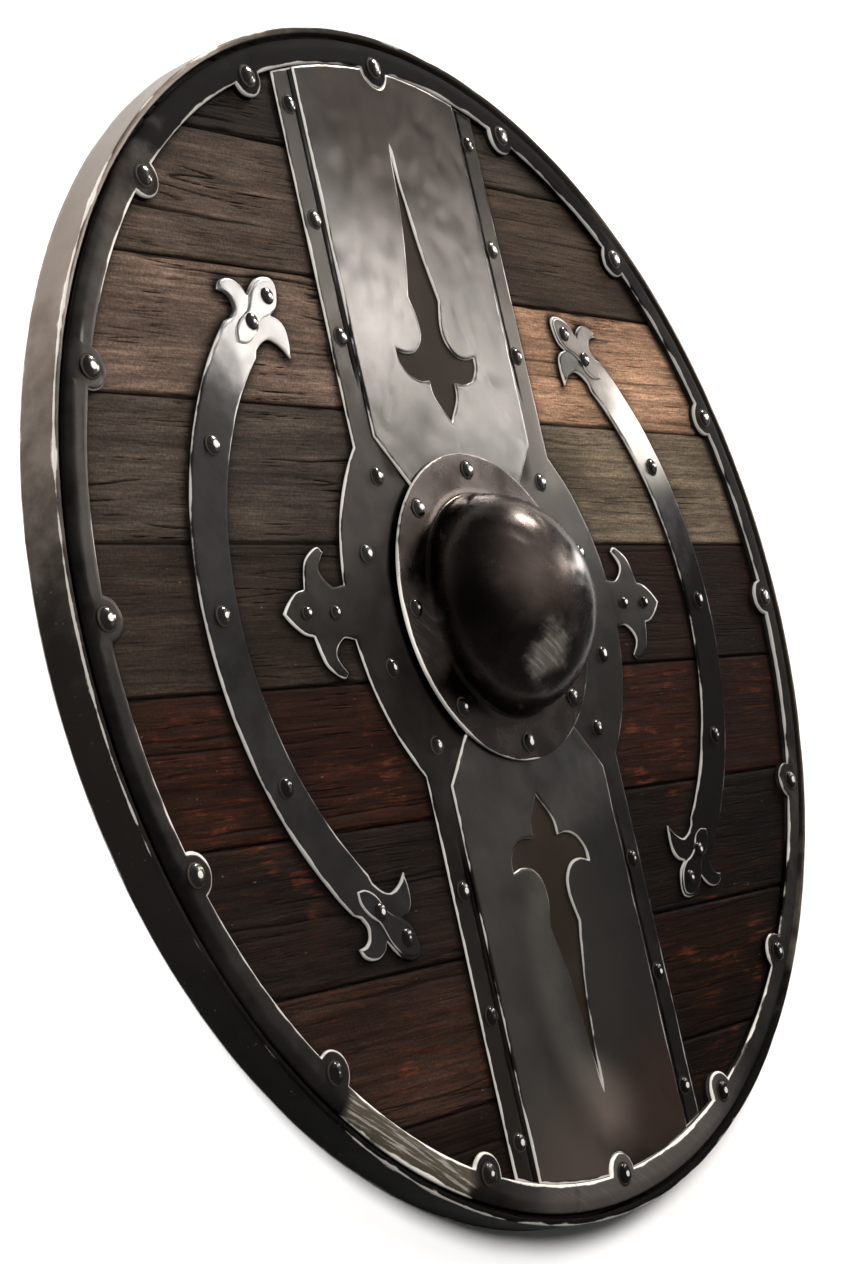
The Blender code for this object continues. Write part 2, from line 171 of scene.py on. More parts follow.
def distance_to(outlines: Sequence[Sequence[Point]], x: np.ndarray, y: np.ndarray) -> np.ndarray:
    """Distance of each place to the nearest of some closed outlines.

    Args:
        outlines: The closed outlines.
        x: The places' X.
        y: The places' Y.

    Returns:
        The distances in metres.
    """
    nearest = np.full(x.shape, np.inf)
    for outline in outlines:
        for (ax, ay), (bx, by) in zip(outline, [*outline[1:], outline[0]]):
            dx, dy = bx - ax, by - ay
            length = max(dx * dx + dy * dy, TINY ** 2)
            share = np.clip(((x - ax) * dx + (y - ay) * dy) / length, 0.0, 1.0)
            gap = (x - ax - share * dx) ** 2 + (y - ay - share * dy) ** 2
            np.minimum(nearest, gap, out=nearest)
    return np.sqrt(nearest)


# Numbers for relief

HASH = (374761393, 668265263, 974634777, 1274126177)
LOW_32_BITS, LOW_16_BITS = 0xFFFFFFFF, 0xFFFF
TO_FULL_HEIGHT = 1.5


def waves(x: np.ndarray, y: np.ndarray, seed: int) -> np.ndarray:
    """Smooth noise between about -1 and 1, one swell per unit of length.

    Args:
        x: Places along the first axis.
        y: Places along the second axis.
        seed: Which pattern.

    Returns:
        The height of the pattern at each place.
    """
    column, row = np.floor(x).astype(np.int64), np.floor(y).astype(np.int64)
    across, up = x - column, y - row

    def corner(step_x: int, step_y: int) -> np.ndarray:
        """The slope of one corner of the cell, at the place."""
        key = ((column + step_x) * HASH[0] + (row + step_y) * HASH[1] + seed * HASH[2]) & LOW_32_BITS
        key = ((key ^ (key >> 13)) * HASH[3]) & LOW_32_BITS
        angle = ((key ^ (key >> 16)) & LOW_16_BITS) / LOW_16_BITS * 2 * math.pi
        return np.cos(angle) * (across - step_x) + np.sin(angle) * (up - step_y)

    ease_x = across ** 3 * (across * (across * 6 - 15) + 10)
    ease_y = up ** 3 * (up * (up * 6 - 15) + 10)
    low = corner(0, 0) + ease_x * (corner(1, 0) - corner(0, 0))
    high = corner(0, 1) + ease_x * (corner(1, 1) - corner(0, 1))
    return TO_FULL_HEIGHT * (low + ease_y * (high - low))


def slope(value: np.ndarray, start: float, end: float) -> np.ndarray:
    """0 before start and 1 after end, with a smooth rise between them."""
    share = np.clip((value - start) / (end - start), 0.0, 1.0)
    return share * share * (3 - 2 * share)


@dataclass(frozen=True)
class Swells:
    """A pattern of smooth swells.

    Attributes:
        along: Length of a swell along the first axis.
        across: Its length along the second one.
        seed: Which pattern.
        depth: Greatest depth or move that it gives, in metres, or its weight in a sum.
        start: Height of the pattern where a mark starts.
        end: Height where the mark is at its deepest.
        layers: Layers, each twice as fine and half as high as the last.
    """

    along: float
    across: float
    seed: int
    depth: float = 1.0
    start: float = 0.0
    end: float = 1.0
    layers: int = 1

    def height(self, x: np.ndarray, y: np.ndarray, seed: int = 0) -> np.ndarray:
        """The pattern at each place, from about -1 to 1."""
        x, y, seed = x / self.along, y / self.across, self.seed + seed
        return sum(waves(x * 2 ** k, y * 2 ** k, seed + 17 * k) / 2 ** k for k in range(self.layers))

    def sway(self, x: np.ndarray, y: np.ndarray, seed: int = 0) -> np.ndarray:
        """How far the pattern moves each place."""
        return self.depth * self.height(x, y, seed)

    def marks(self, x: np.ndarray, y: np.ndarray, seed: int = 0) -> np.ndarray:
        """How deep the pattern's marks are at each place."""
        return self.depth * slope(self.height(x, y, seed), self.start, self.end)

    def lines(self, x: np.ndarray, y: np.ndarray, seed: int = 0) -> np.ndarray:
        """How much line each place has, where lines run between the high and the low swells."""
        return self.depth * (1 - slope(np.abs(self.height(x, y, seed)), self.start, self.end))


# Modelling

def select_only(piece: bpy.types.Object) -> None:
    """Selects this piece alone and makes it the active one."""
    bpy.ops.object.select_all(action="DESELECT")
    piece.select_set(True)
    bpy.context.view_layer.objects.active = piece


@contextlib.contextmanager
def editing(piece: bpy.types.Object) -> Iterator[None]:
    """Edit mode on one piece, with all of it selected at the start."""
    select_only(piece)
    bpy.ops.object.mode_set(mode="EDIT")
    bpy.ops.mesh.select_all(action="SELECT")
    yield
    bpy.ops.object.mode_set(mode="OBJECT")


def wire(name: str, loops: Sequence[Sequence[Sequence[float]]], closed: bool = True) -> bpy.types.Object:
    """A piece that is only edges so far.

    Args:
        name: The piece's name.
        loops: The points of each line, in metres.
        closed: Whether each line ends where it starts.

    Returns:
        The new piece, at the origin.
    """
    places, edges = [], []
    for loop in loops:
        first = len(places)
        places += [tuple(p) if len(p) == 3 else (*p, 0.0) for p in loop]
        edges += [(first + k, first + k + 1) for k in range(len(loop) - 1)]
        if closed:
            edges.append((len(places) - 1, first))
    mesh = bpy.data.meshes.new(name)
    mesh.from_pydata(places, edges, [])
    piece = bpy.data.objects.new(name, mesh)
    bpy.context.scene.collection.objects.link(piece)
    return piece


def places_of(piece: bpy.types.Object) -> np.ndarray:
    """The places of a piece's points, as rows of X, Y and Z."""
    flat = np.empty(len(piece.data.vertices) * 3)
    piece.data.vertices.foreach_get("co", flat)
    return flat.reshape(-1, 3)


def move_points(piece: bpy.types.Object, places: np.ndarray) -> None:
    """Puts a piece's points at these places."""
    piece.data.vertices.foreach_set("co", places.ravel())
    piece.data.update()


def set_attribute(piece: bpy.types.Object, name: str, values: np.ndarray) -> None:
    """Keeps a number for each point of a piece, which its finish reads."""
    layer = piece.data.attributes.get(name) or piece.data.attributes.new(name, "FLOAT", "POINT")
    layer.data.foreach_set("value", np.clip(values, 0.0, 1.0).astype(np.float32))


def smooth(piece: bpy.types.Object, degrees: float) -> None:
    """Shades a piece smooth, apart from edges sharper than this."""
    select_only(piece)
    bpy.ops.object.shade_smooth_by_angle(angle=math.radians(degrees))


def extrude(height: float) -> None:
    """Extrudes the selected faces along Z."""
    bpy.ops.mesh.extrude_region_move(TRANSFORM_OT_translate={"value": (0.0, 0.0, height)})


CORNER = 0.3
RAISED_FROM = 0.2
MITRE_LIMIT = 1.6
ROOM_STEPS = 14
ROOM_NEEDED = 0.95
LEAST_SHARE, HELD_BACK, GREATEST_DROP = 0.04, 0.9, 0.2


@dataclass
class Sheet:
    """A flat sheet with an eased front edge, cut from closed outlines.

    Attributes:
        name: The piece's name.
        outlines: The outer outline and the openings, in metres.
        back: Height of its back.
        front: Height of its front.
        ease: Width of the eased edge.
        worn_band: How far in from the eased edge it is worn.
        rule: Spacing of the cuts that let the front be dented, or None.
        relief: How far the front is moved along Z, for X and Y, or None.
        rings: Cuts between two outlines of as many points, or None for a filled sheet.
        scores: Further cuts along it, at these places of X.
        worn_wall: Greatest height of the worn top of its sides.
        crease: Edges sharper than this many degrees stay sharp.
    """

    name: str
    outlines: Sequence[Sequence[Point]]
    back: float
    front: float
    ease: float = 0.7 * MM
    worn_band: float = 1.6 * MM
    rule: float | None = None
    relief: Relief | None = None
    rings: int | None = None
    scores: Sequence[float] = ()
    worn_wall: float = 0.8 * MM
    crease: float = 50.0

    def make(self) -> bpy.types.Object:
        """Builds the sheet.

        Returns:
            The finished piece, with its "edge" attribute.
        """
        steps = ((CORNER * self.ease, 1 - CORNER), (self.ease, 1.0), (self.ease + self.worn_band, 1.0))
        piece = wire(self.name, [[(x, y, self.back) for x, y in o] for o in self.outlines])
        with editing(piece):
            self.close(0)
        if piece.data.polygons[0].normal.z < 0:
            piece.data.flip_normals()
        wall = self.front - self.back - self.ease
        worn_wall = min(self.worn_wall, 0.5 * wall)
        with editing(piece):
            extrude(wall - worn_wall)
            extrude(worn_wall)
            bpy.ops.mesh.delete(type="FACE")
            bpy.ops.mesh.select_non_manifold()
            for _ in steps:
                bpy.ops.mesh.extrude_edges_move(TRANSFORM_OT_translate={"value": (0.0, 0.0, MM)})
        self.step_in(piece, steps)
        with editing(piece):
            bpy.ops.mesh.select_all(action="DESELECT")
            bpy.ops.mesh.select_non_manifold()
            self.close(self.rings or 0)
            if self.rule is not None:
                self.rule_off()
            bpy.ops.mesh.select_all(action="SELECT")
            bpy.ops.mesh.normals_make_consistent(inside=False)
        places = places_of(piece)
        raised = places[:, 2] > self.back + RAISED_FROM * (self.front - self.back)
        gap = distance_to(self.outlines, places[:, 0], places[:, 1])
        exposed = places[:, 2] > self.back + wall - 0.5 * worn_wall
        set_attribute(piece, "edge", exposed - gap / (self.ease + self.worn_band))
        if self.relief is not None:
            places[raised, 2] += self.relief(places[raised, 0], places[raised, 1])
            move_points(piece, places)
        smooth(piece, self.crease)
        return piece

    def close(self, cuts: int) -> None:
        """Closes the selected outlines with faces."""
        if self.rings is None:
            bpy.ops.mesh.fill(use_beauty=True)
        else:
            bpy.ops.mesh.bridge_edge_loops(number_cuts=cuts, interpolation="LINEAR")

    def step_in(self, piece: bpy.types.Object, steps: Sequence[tuple[float, float]]) -> None:
        """Moves the edge's rings of points inwards, less where the sheet is narrow.

        Args:
            piece: The piece, with its rings stacked one millimetre apart above its sides.
            steps: How far in each ring goes, and its share of the rise.
        """
        reach_in = steps[-1][0]
        shares = np.linspace(0.0, 1.0, ROOM_STEPS + 1)[1:]
        points, inwards = [], []
        for k, outline in enumerate(self.outlines):
            line = np.array(outline)
            ahead = np.roll(line, -1, axis=0)
            along = ahead - line
            area = float(np.sum(line[:, 0] * ahead[:, 1] - ahead[:, 0] * line[:, 1]))
            turn = math.copysign(1.0, area) * (1.0 if k == 0 else -1.0)
            side = turn * np.column_stack([-along[:, 1], along[:, 0]])
            side /= np.linalg.norm(side, axis=1, keepdims=True)
            last = np.roll(side, 1, axis=0)
            middle = side + last
            middle /= np.maximum(np.linalg.norm(middle, axis=1, keepdims=True), TINY)
            cosine = np.sum(middle * side, axis=1)
            stretch = np.minimum(1.0 / np.maximum(cosine, TINY), MITRE_LIMIT)
            hollow = turn * (last[:, 0] * side[:, 1] - last[:, 1] * side[:, 0]) < 0
            due = np.where(hollow, 1.0, cosine) * stretch * reach_in
            move = middle * (stretch * reach_in)[:, None]
            spots = line[:, None, :] + shares[None, :, None] * move[:, None, :]
            needed = ROOM_NEEDED * due[:, None] * shares
            room = distance_to(self.outlines, spots[..., 0], spots[..., 1]) > needed
            share = np.where(room.all(axis=1), 1.0, shares[np.argmin(room, axis=1)] - shares[0])
            share = np.minimum(share, 0.5 * (np.roll(share, 1) + np.roll(share, -1)) + GREATEST_DROP)
            share = np.where(share < 1.0, HELD_BACK * np.maximum(share, LEAST_SHARE), 1.0)
            points.append(line)
            inwards.append(move * share[:, None])
        points, inwards = np.concatenate(points), np.concatenate(inwards)
        places = places_of(piece)
        base = self.front - self.ease
        ring = np.rint((places[:, 2] - base) / MM).astype(int)
        for k, (inset, rise) in enumerate(steps):
            chosen = np.flatnonzero(ring == k + 1)
            gaps = ((places[chosen, None, :2] - points[None, :, :]) ** 2).sum(axis=2)
            nearest = np.argmin(gaps, axis=1)
            share = np.linalg.norm(inwards[nearest], axis=1) / reach_in
            places[chosen, :2] = points[nearest] + inwards[nearest] * inset / reach_in
            places[chosen, 2] = base + rise * self.ease * np.minimum(share, 1.0)
        move_points(piece, places)

    def rule_off(self) -> None:
        """Cuts the sheet across and along, so that its front can be dented."""
        for axis in (0, 1):
            ends = [p[axis] for p in self.outlines[0]]
            count = int((max(ends) - min(ends)) / self.rule)
            cuts = [min(ends) + (max(ends) - min(ends)) * k / (count + 1) for k in range(1, count + 1)]
            for spot in cuts + list(self.scores if axis == 0 else ()):
                place, across = [0.0, 0.0, 0.0], [0.0, 0.0, 0.0]
                place[axis] = spot
                across[axis] = 1.0
                bpy.ops.mesh.select_all(action="SELECT")
                bpy.ops.mesh.bisect(plane_co=place, plane_no=across)


def turned(name: str, profile: Sequence[Point], steps: int) -> bpy.types.Object:
    """A piece turned about Z.

    Args:
        name: The piece's name.
        profile: Radius and height of each point, down the outer side first.
        steps: Number of flats round it.

    Returns:
        The closed piece.
    """
    closed = profile[0][0] > 0
    piece = wire(name, [[(r, 0.0, z) for r, z in profile]], closed)
    with editing(piece):
        bpy.ops.mesh.spin(steps=steps, angle=2 * math.pi, center=(0.0, 0.0, 0.0), axis=(0.0, 0.0, 1.0))
        bpy.ops.mesh.select_all(action="SELECT")
        bpy.ops.mesh.remove_doubles(threshold=0.01 * MM)
        bpy.ops.mesh.normals_make_consistent(inside=False)
    return piece


def copy_to(piece: bpy.types.Object, name: str, place: Matrix) -> bpy.types.Object:
    """A copy of a piece with its own mesh, moved in its mesh."""
    copy = piece.copy()
    copy.data = piece.data.copy()
    copy.name = copy.data.name = name
    copy.data.transform(place)
    bpy.context.scene.collection.objects.link(copy)
    return copy


# Finishes

# Tone of the patches of painted shade.
PAINTED_SHADE = (0.0016, 0.0014, 0.0012)
# Tone of dirt in seams and of painted shade in recesses and round rivet feet.
DIRT_AND_SHADE_TONE = (0.020, 0.014, 0.010)
FULL = (0.0, 1.0)
NOISE_SPAN = (0.3, 0.7)


@dataclass(frozen=True)
class Pattern:
    """A noise pattern in a finish.

    Attributes:
        scale: Swells per metre along each axis.
        shift: Move, so that patterns differ.
        detail: Number of finer layers.
        roughness: Strength of those layers.
        distortion: How far the pattern is warped.
        turn: Turn about Z in radians, before the stretch.
    """

    scale: tuple[float, float, float]
    shift: float = 0.0
    detail: float = 3.0
    roughness: float = 0.55
    distortion: float = 0.0
    turn: float = 0.0


def even(per_metre: float, shift: float = 0.0, detail: float = 3.0) -> Pattern:
    """A pattern that is alike in all directions."""
    return Pattern((per_metre, per_metre, per_metre), shift, detail)


@dataclass(frozen=True)
class Patch:
    """A soft round patch of another tone, used for painted shade, painted light and highlights, and
    scratched, dulled places.

    Attributes:
        place: Its middle, in metres.
        radius: Where it ends.
        share: How much of its tone there is in the middle, from 0 to 1.
        tone: Its colour.
        core: Share of the radius where it starts to fade.
        scratched: Strength of the scratches in it, from 0 to 1.
        ragged: How far its border wavers, as a share of the radius.
    """

    place: tuple[float, float, float]
    radius: float
    share: float
    tone: Colour = PAINTED_SHADE
    core: float = 0.2
    scratched: float = 0.0
    ragged: float = 0.07


class Recipe:
    """The shader nodes of one material, added and linked one by one."""

    def __init__(self, name: str, offset: float = 0.0) -> None:
        """Starts the material with its Object coordinates, moved by the offset."""
        self.material = bpy.data.materials.new(name)
        self.material.use_nodes = True
        self.tree = self.material.node_tree
        self.shader = self.tree.nodes["Principled BSDF"]
        self.offset = offset
        self.coordinates = self.node("TexCoord", {}).outputs["Object"]

    def put(self, socket: bpy.types.NodeSocket, value: object) -> None:
        """Links a socket to another, or sets its value."""
        if isinstance(value, bpy.types.NodeSocket):
            self.tree.links.new(value, socket)
        elif isinstance(value, tuple) and len(value) == 3 and socket.type == "RGBA":
            socket.default_value = (*value, 1.0)
        else:
            socket.default_value = value

    def node(self, kind: str, inputs: dict[int | str, object], **settings: str) -> bpy.types.Node:
        """Adds a node.

        Args:
            kind: Its kind, without the words ShaderNode.
            inputs: What its inputs are linked or set to.
            **settings: Its other settings.

        Returns:
            The new node.
        """
        node = self.tree.nodes.new(f"ShaderNode{kind}")
        for name, value in settings.items():
            setattr(node, name, value)
        for key, value in inputs.items():
            self.put(node.inputs[key], value)
        return node

    def dress(self, inputs: dict[str, object]) -> bpy.types.Material:
        """Links or sets inputs of the shader, and hands over the material."""
        for name, value in inputs.items():
            self.put(self.shader.inputs[name], value)
        return self.material

    def noise(self, pattern: Pattern) -> bpy.types.NodeSocket:
        """The noise of a pattern on the Object coordinates."""
        move = (self.offset + pattern.shift, self.offset - pattern.shift, 0.0)
        moved = self.node("Mapping", {"Vector": self.coordinates, "Rotation": (0.0, 0.0, pattern.turn),
                                      "Location": move})
        place = self.node("Mapping", {"Vector": moved.outputs["Vector"], "Scale": pattern.scale})
        settings = {"Scale": 1.0, "Detail": pattern.detail, "Roughness": pattern.roughness,
                    "Distortion": pattern.distortion}
        return self.node("TexNoise", {"Vector": place.outputs["Vector"], **settings}).outputs["Fac"]

    def attribute(self, name: str) -> bpy.types.NodeSocket:
        """A number that the mesh keeps for each point."""
        return self.node("Attribute", {}, attribute_name=name).outputs["Fac"]

    def maths(self, operation: str, first: object, second: object) -> bpy.types.NodeSocket:
        """The result of a math node."""
        return self.node("Math", {0: first, 1: second}, operation=operation).outputs[0]

    def times(self, first: object, second: object) -> bpy.types.NodeSocket:
        """One value times another."""
        return self.maths("MULTIPLY", first, second)

    def plus(self, first: object, second: object) -> bpy.types.NodeSocket:
        """One value and another added up."""
        return self.maths("ADD", first, second)

    def larger(self, first: object, second: object) -> bpy.types.NodeSocket:
        """The larger of two values."""
        return self.maths("MAXIMUM", first, second)

    def rise(self, value: bpy.types.NodeSocket, start: float, end: float, low: float = 0.0,
             high: float = 1.0) -> bpy.types.NodeSocket:
        """A smooth rise from low to high between two values."""
        inputs = {"Value": value, "From Min": start, "From Max": end, "To Min": low, "To Max": high}
        return self.node("MapRange", inputs, interpolation_type="SMOOTHSTEP").outputs["Result"]

    def mix(self, share: object, first: object, second: object) -> bpy.types.NodeSocket:
        """A blend of two colours."""
        return self.node("Mix", {0: share, 6: first, 7: second}, data_type="RGBA").outputs[2]

    def scaled(self, colour: object, factor: object) -> bpy.types.NodeSocket:
        """A colour made darker or lighter."""
        return self.node("VectorMath", {0: colour, "Scale": factor}, operation="SCALE").outputs[0]

    def near(self, patch: Patch, waver: bpy.types.NodeSocket) -> bpy.types.NodeSocket:
        """The patch's share at each place, with a wavering border."""
        away = self.node("VectorMath", {0: self.coordinates, 1: patch.place}, operation="DISTANCE")
        ragged = patch.ragged * patch.radius
        gap = self.plus(away.outputs["Value"], self.rise(waver, *NOISE_SPAN, -ragged, ragged))
        return self.rise(gap, patch.core * patch.radius, patch.radius, patch.share, 0.0)

    def bump(self, height: bpy.types.NodeSocket, strength: float, depth: float,
             under: bpy.types.NodeSocket | None = None) -> bpy.types.NodeSocket:
        """A bump of this depth in metres, over another bump."""
        inputs = {"Height": height, "Strength": strength, "Distance": depth}
        if under is not None:
            inputs["Normal"] = under
        return self.node("Bump", inputs).outputs["Normal"]


BROAD = even(8.0, shift=0.3)
MOTTLE = even(42.0, shift=0.7, detail=5.0)
GRIT = even(420.0, shift=0.2)
KNOCKS = even(34.0, shift=0.4, detail=1.0)
SCRATCHED_PLACES = even(16.0, shift=0.9)
SCRATCHES = tuple(Pattern((45.0, 1100.0, 45.0), shift, 3.0, roughness=0.6, distortion=0.4, turn=turn)
                  for turn, shift in ((0.6, 0.1), (1.1, 0.5), (2.2, 1.3)))
STREAKS = Pattern((32.0, 620.0, 32.0), 0.8, 4.0, roughness=0.65, distortion=0.3, turn=0.6)
STEEL_SPANS = {
    "mottle": (0.34, 0.66), "scratch": (0.66, 0.76), "scratched places": (0.45, 0.65),
    "streak": (0.48, 0.64),
    "edge waver": (*NOISE_SPAN, -0.22, 0.22), "broad edge": (0.35, 0.60, -0.34, 0.16),
    "shaded edge": (*FULL, 1.0, 0.45), "pit": (0.68, 0.76), "shaded metal": (0.2, 1.0, 1.0, 0.12),
    "worn metal": (*FULL, 1.0, 0.45), "grit dullness": (*NOISE_SPAN, -0.012, 0.012),
}
TINT_START, TINT_SPREAD, TINT_END = 0.62, 0.25, 0.72
WEAR_START, WEAR_END, WEAR_SPREAD = 0.92, 1.12, 0.6
PIT_SHARE = 0.35
DULLED_METAL = 0.5
# Extra roughness where shade is painted and in dirty seams.
SHADE_DULLNESS = 0.35
GRIT_HEIGHT = 0.4
HAMMER_STRENGTH, GRAIN_STRENGTH = 1.0, 0.6
STEEL_GLOSS = 0.04


@dataclass(frozen=True)
class SteelFinish:
    """Blackened steel, mottled, scratched and worn bright along its edges, with painted shade and painted
    light in patches.

    Attributes:
        name: The material's name.
        dark: Colour of the darkest patina.
        light: Colour of the cleaner steel.
        brown: Colour of the rust-brown tint.
        brown_share: How much of it there is, from 0 to 1.
        bright: Colour of the worn edges, and of the painted highlight on rivet tops.
        wear: How far the wear reaches, from 0 to 1.
        roughness: Roughness of clean and of dull steel.
        scratches: Strength of the scratches, from 0 to 1.
        hammer: Depth of the hammer marks in metres.
        grain: Depth of the finest marks in metres.
        offset: Move of the patterns, so that finishes differ.
        patches: Patches of painted shade, of painted light and highlights, and of scratched steel.
    """

    name: str
    dark: Colour
    light: Colour
    brown: Colour = (0.075, 0.045, 0.030)
    brown_share: float = 0.4
    bright: Colour = (0.70, 0.665, 0.62)
    wear: float = 0.68
    roughness: tuple[float, float] = (0.33, 0.42)
    scratches: float = 0.03
    hammer: float = 0.5 * MM
    grain: float = 0.06 * MM
    offset: float = 0.0
    patches: tuple[Patch, ...] = ()

    def mix_up(self) -> bpy.types.Material:
        """Makes the material.

        Returns:
            The finished material.
        """
        recipe = Recipe(self.name, self.offset)
        broad, mottle, grit = (recipe.noise(pattern) for pattern in (BROAD, MOTTLE, GRIT))
        spans = STEEL_SPANS
        colour = recipe.mix(recipe.rise(mottle, *spans["mottle"]), self.dark, self.light)
        tint = recipe.rise(broad, TINT_START - TINT_SPREAD * self.brown_share, TINT_END)
        colour = recipe.mix(recipe.times(tint, self.brown_share), colour, self.brown)
        marks = 0.0
        for pattern in SCRATCHES:
            marks = recipe.larger(marks, recipe.rise(recipe.noise(pattern), *spans["scratch"]))
        scratched = recipe.rise(recipe.noise(SCRATCHED_PLACES), *spans["scratched places"])
        marks = recipe.times(marks, scratched)
        # Painted shade and light: the grime attribute holds dirt in seams and painted shade, and each patch
        # paints shade or light in its tone; the PAINTED_SHADE patches also dull the steel.
        shade_and_dirt, dulled, streaked = recipe.attribute("grime"), 0.0, 0.0
        for patch in self.patches:
            share = recipe.near(patch, mottle)
            colour = recipe.mix(share, colour, patch.tone)
            if patch.scratched:
                dulled = recipe.larger(dulled, share)
                streaked = recipe.larger(streaked, recipe.times(share, patch.scratched))
            if patch.tone == PAINTED_SHADE:
                shade_and_dirt = recipe.larger(shade_and_dirt, share)
        # Dirt in seams, and painted shade in recesses and round rivet feet.
        colour = recipe.mix(recipe.attribute("grime"), colour, DIRT_AND_SHADE_TONE)
        streaks = recipe.times(streaked, recipe.rise(recipe.noise(STREAKS), *spans["streak"]))
        marks = recipe.larger(recipe.times(marks, self.scratches), streaks)
        colour = recipe.mix(marks, colour, self.bright)
        edge = recipe.plus(recipe.attribute("edge"), recipe.rise(mottle, *spans["edge waver"]))
        edge = recipe.plus(edge, recipe.rise(broad, *spans["broad edge"]))
        reach = WEAR_SPREAD * self.wear
        edge = recipe.rise(edge, WEAR_START - reach, WEAR_END - reach)
        # Worn edges are dimmed where shade is painted.
        edge = recipe.times(edge, recipe.rise(shade_and_dirt, *spans["shaded edge"]))
        colour = recipe.mix(edge, colour, self.bright)
        pits = recipe.times(recipe.rise(grit, *spans["pit"]), PIT_SHARE)
        metal = recipe.times(recipe.rise(shade_and_dirt, *spans["shaded metal"]),
                             recipe.rise(edge, *spans["worn metal"]))
        dull = recipe.plus(recipe.rise(mottle, *NOISE_SPAN, *self.roughness),
                           recipe.rise(grit, *spans["grit dullness"]))
        fine = recipe.maths("SUBTRACT", recipe.times(grit, GRIT_HEIGHT), marks)
        hammered = recipe.bump(recipe.noise(KNOCKS), HAMMER_STRENGTH, self.hammer)
        return recipe.dress({
            "Base Color": recipe.mix(pits, colour, self.dark),
            "Metallic": recipe.maths("SUBTRACT", metal, recipe.times(dulled, DULLED_METAL)),
            "Specular IOR Level": STEEL_GLOSS,
            "Roughness": recipe.plus(dull, recipe.times(shade_and_dirt, SHADE_DULLNESS)),
            "Normal": recipe.bump(fine, GRAIN_STRENGTH, self.grain, hammered),
        })


FIBRES = Pattern((84.0, 950.0, 950.0), 0.6, 4.0, roughness=0.65, distortion=0.3)
GRAIN = Pattern((14.0, 300.0, 300.0), 0.2, 6.0, roughness=0.68, distortion=0.4)
WOOD_PATCHES = Pattern((9.0, 26.0, 26.0), 0.9, 5.0, roughness=0.65)
WOOD_GRIT = even(520.0, shift=0.4, detail=4.0)
SPECKS = Pattern((150.0, 480.0, 480.0), 2.1, 2.0)
FLAKES = Pattern((24.0, 230.0, 230.0), 1.3, 6.0, roughness=0.72, distortion=0.3)
PAINTED_PLACES = even(9.0, shift=1.7, detail=4.0)
PAINT_HUES = even(70.0, shift=2.3)
WOOD_SPANS = {
    "grain tone": (0.33, 0.67, 0.68, 1.30), "fibre tone": (0.32, 0.68, 0.70, 1.32),
    "patch tone": (0.32, 0.68, 0.72, 1.26), "grit tone": (*NOISE_SPAN, 0.72, 1.28),
    "ridge tone": (0.15, 0.9, 0.74, 1.22), "flake": (0.50, 0.62), "hue": (0.48, 0.62),
    "paint tone": (*NOISE_SPAN, 0.5, 1.4), "speck": (0.73, 0.79),
}
HALVES_MEET = 60 * MM
PAINT_START, PAINT_START_SPREAD, PAINT_END, PAINT_END_SPREAD = 0.56, 0.2, 0.68, 0.16
PAINT_COVER = 0.85
SPECK_SHARE = 0.5
SPECK_COLOUR = (0.22, 0.16, 0.10)
SMOOTHER, ROUGHER = 0.10, 0.12
WOOD_GLOSS = 0.05
WOOD_BUMPS = {"grain": (0.9, 0.7 * MM), "fibres": (0.8, 0.25 * MM), "grit": (0.6, 0.12 * MM)}


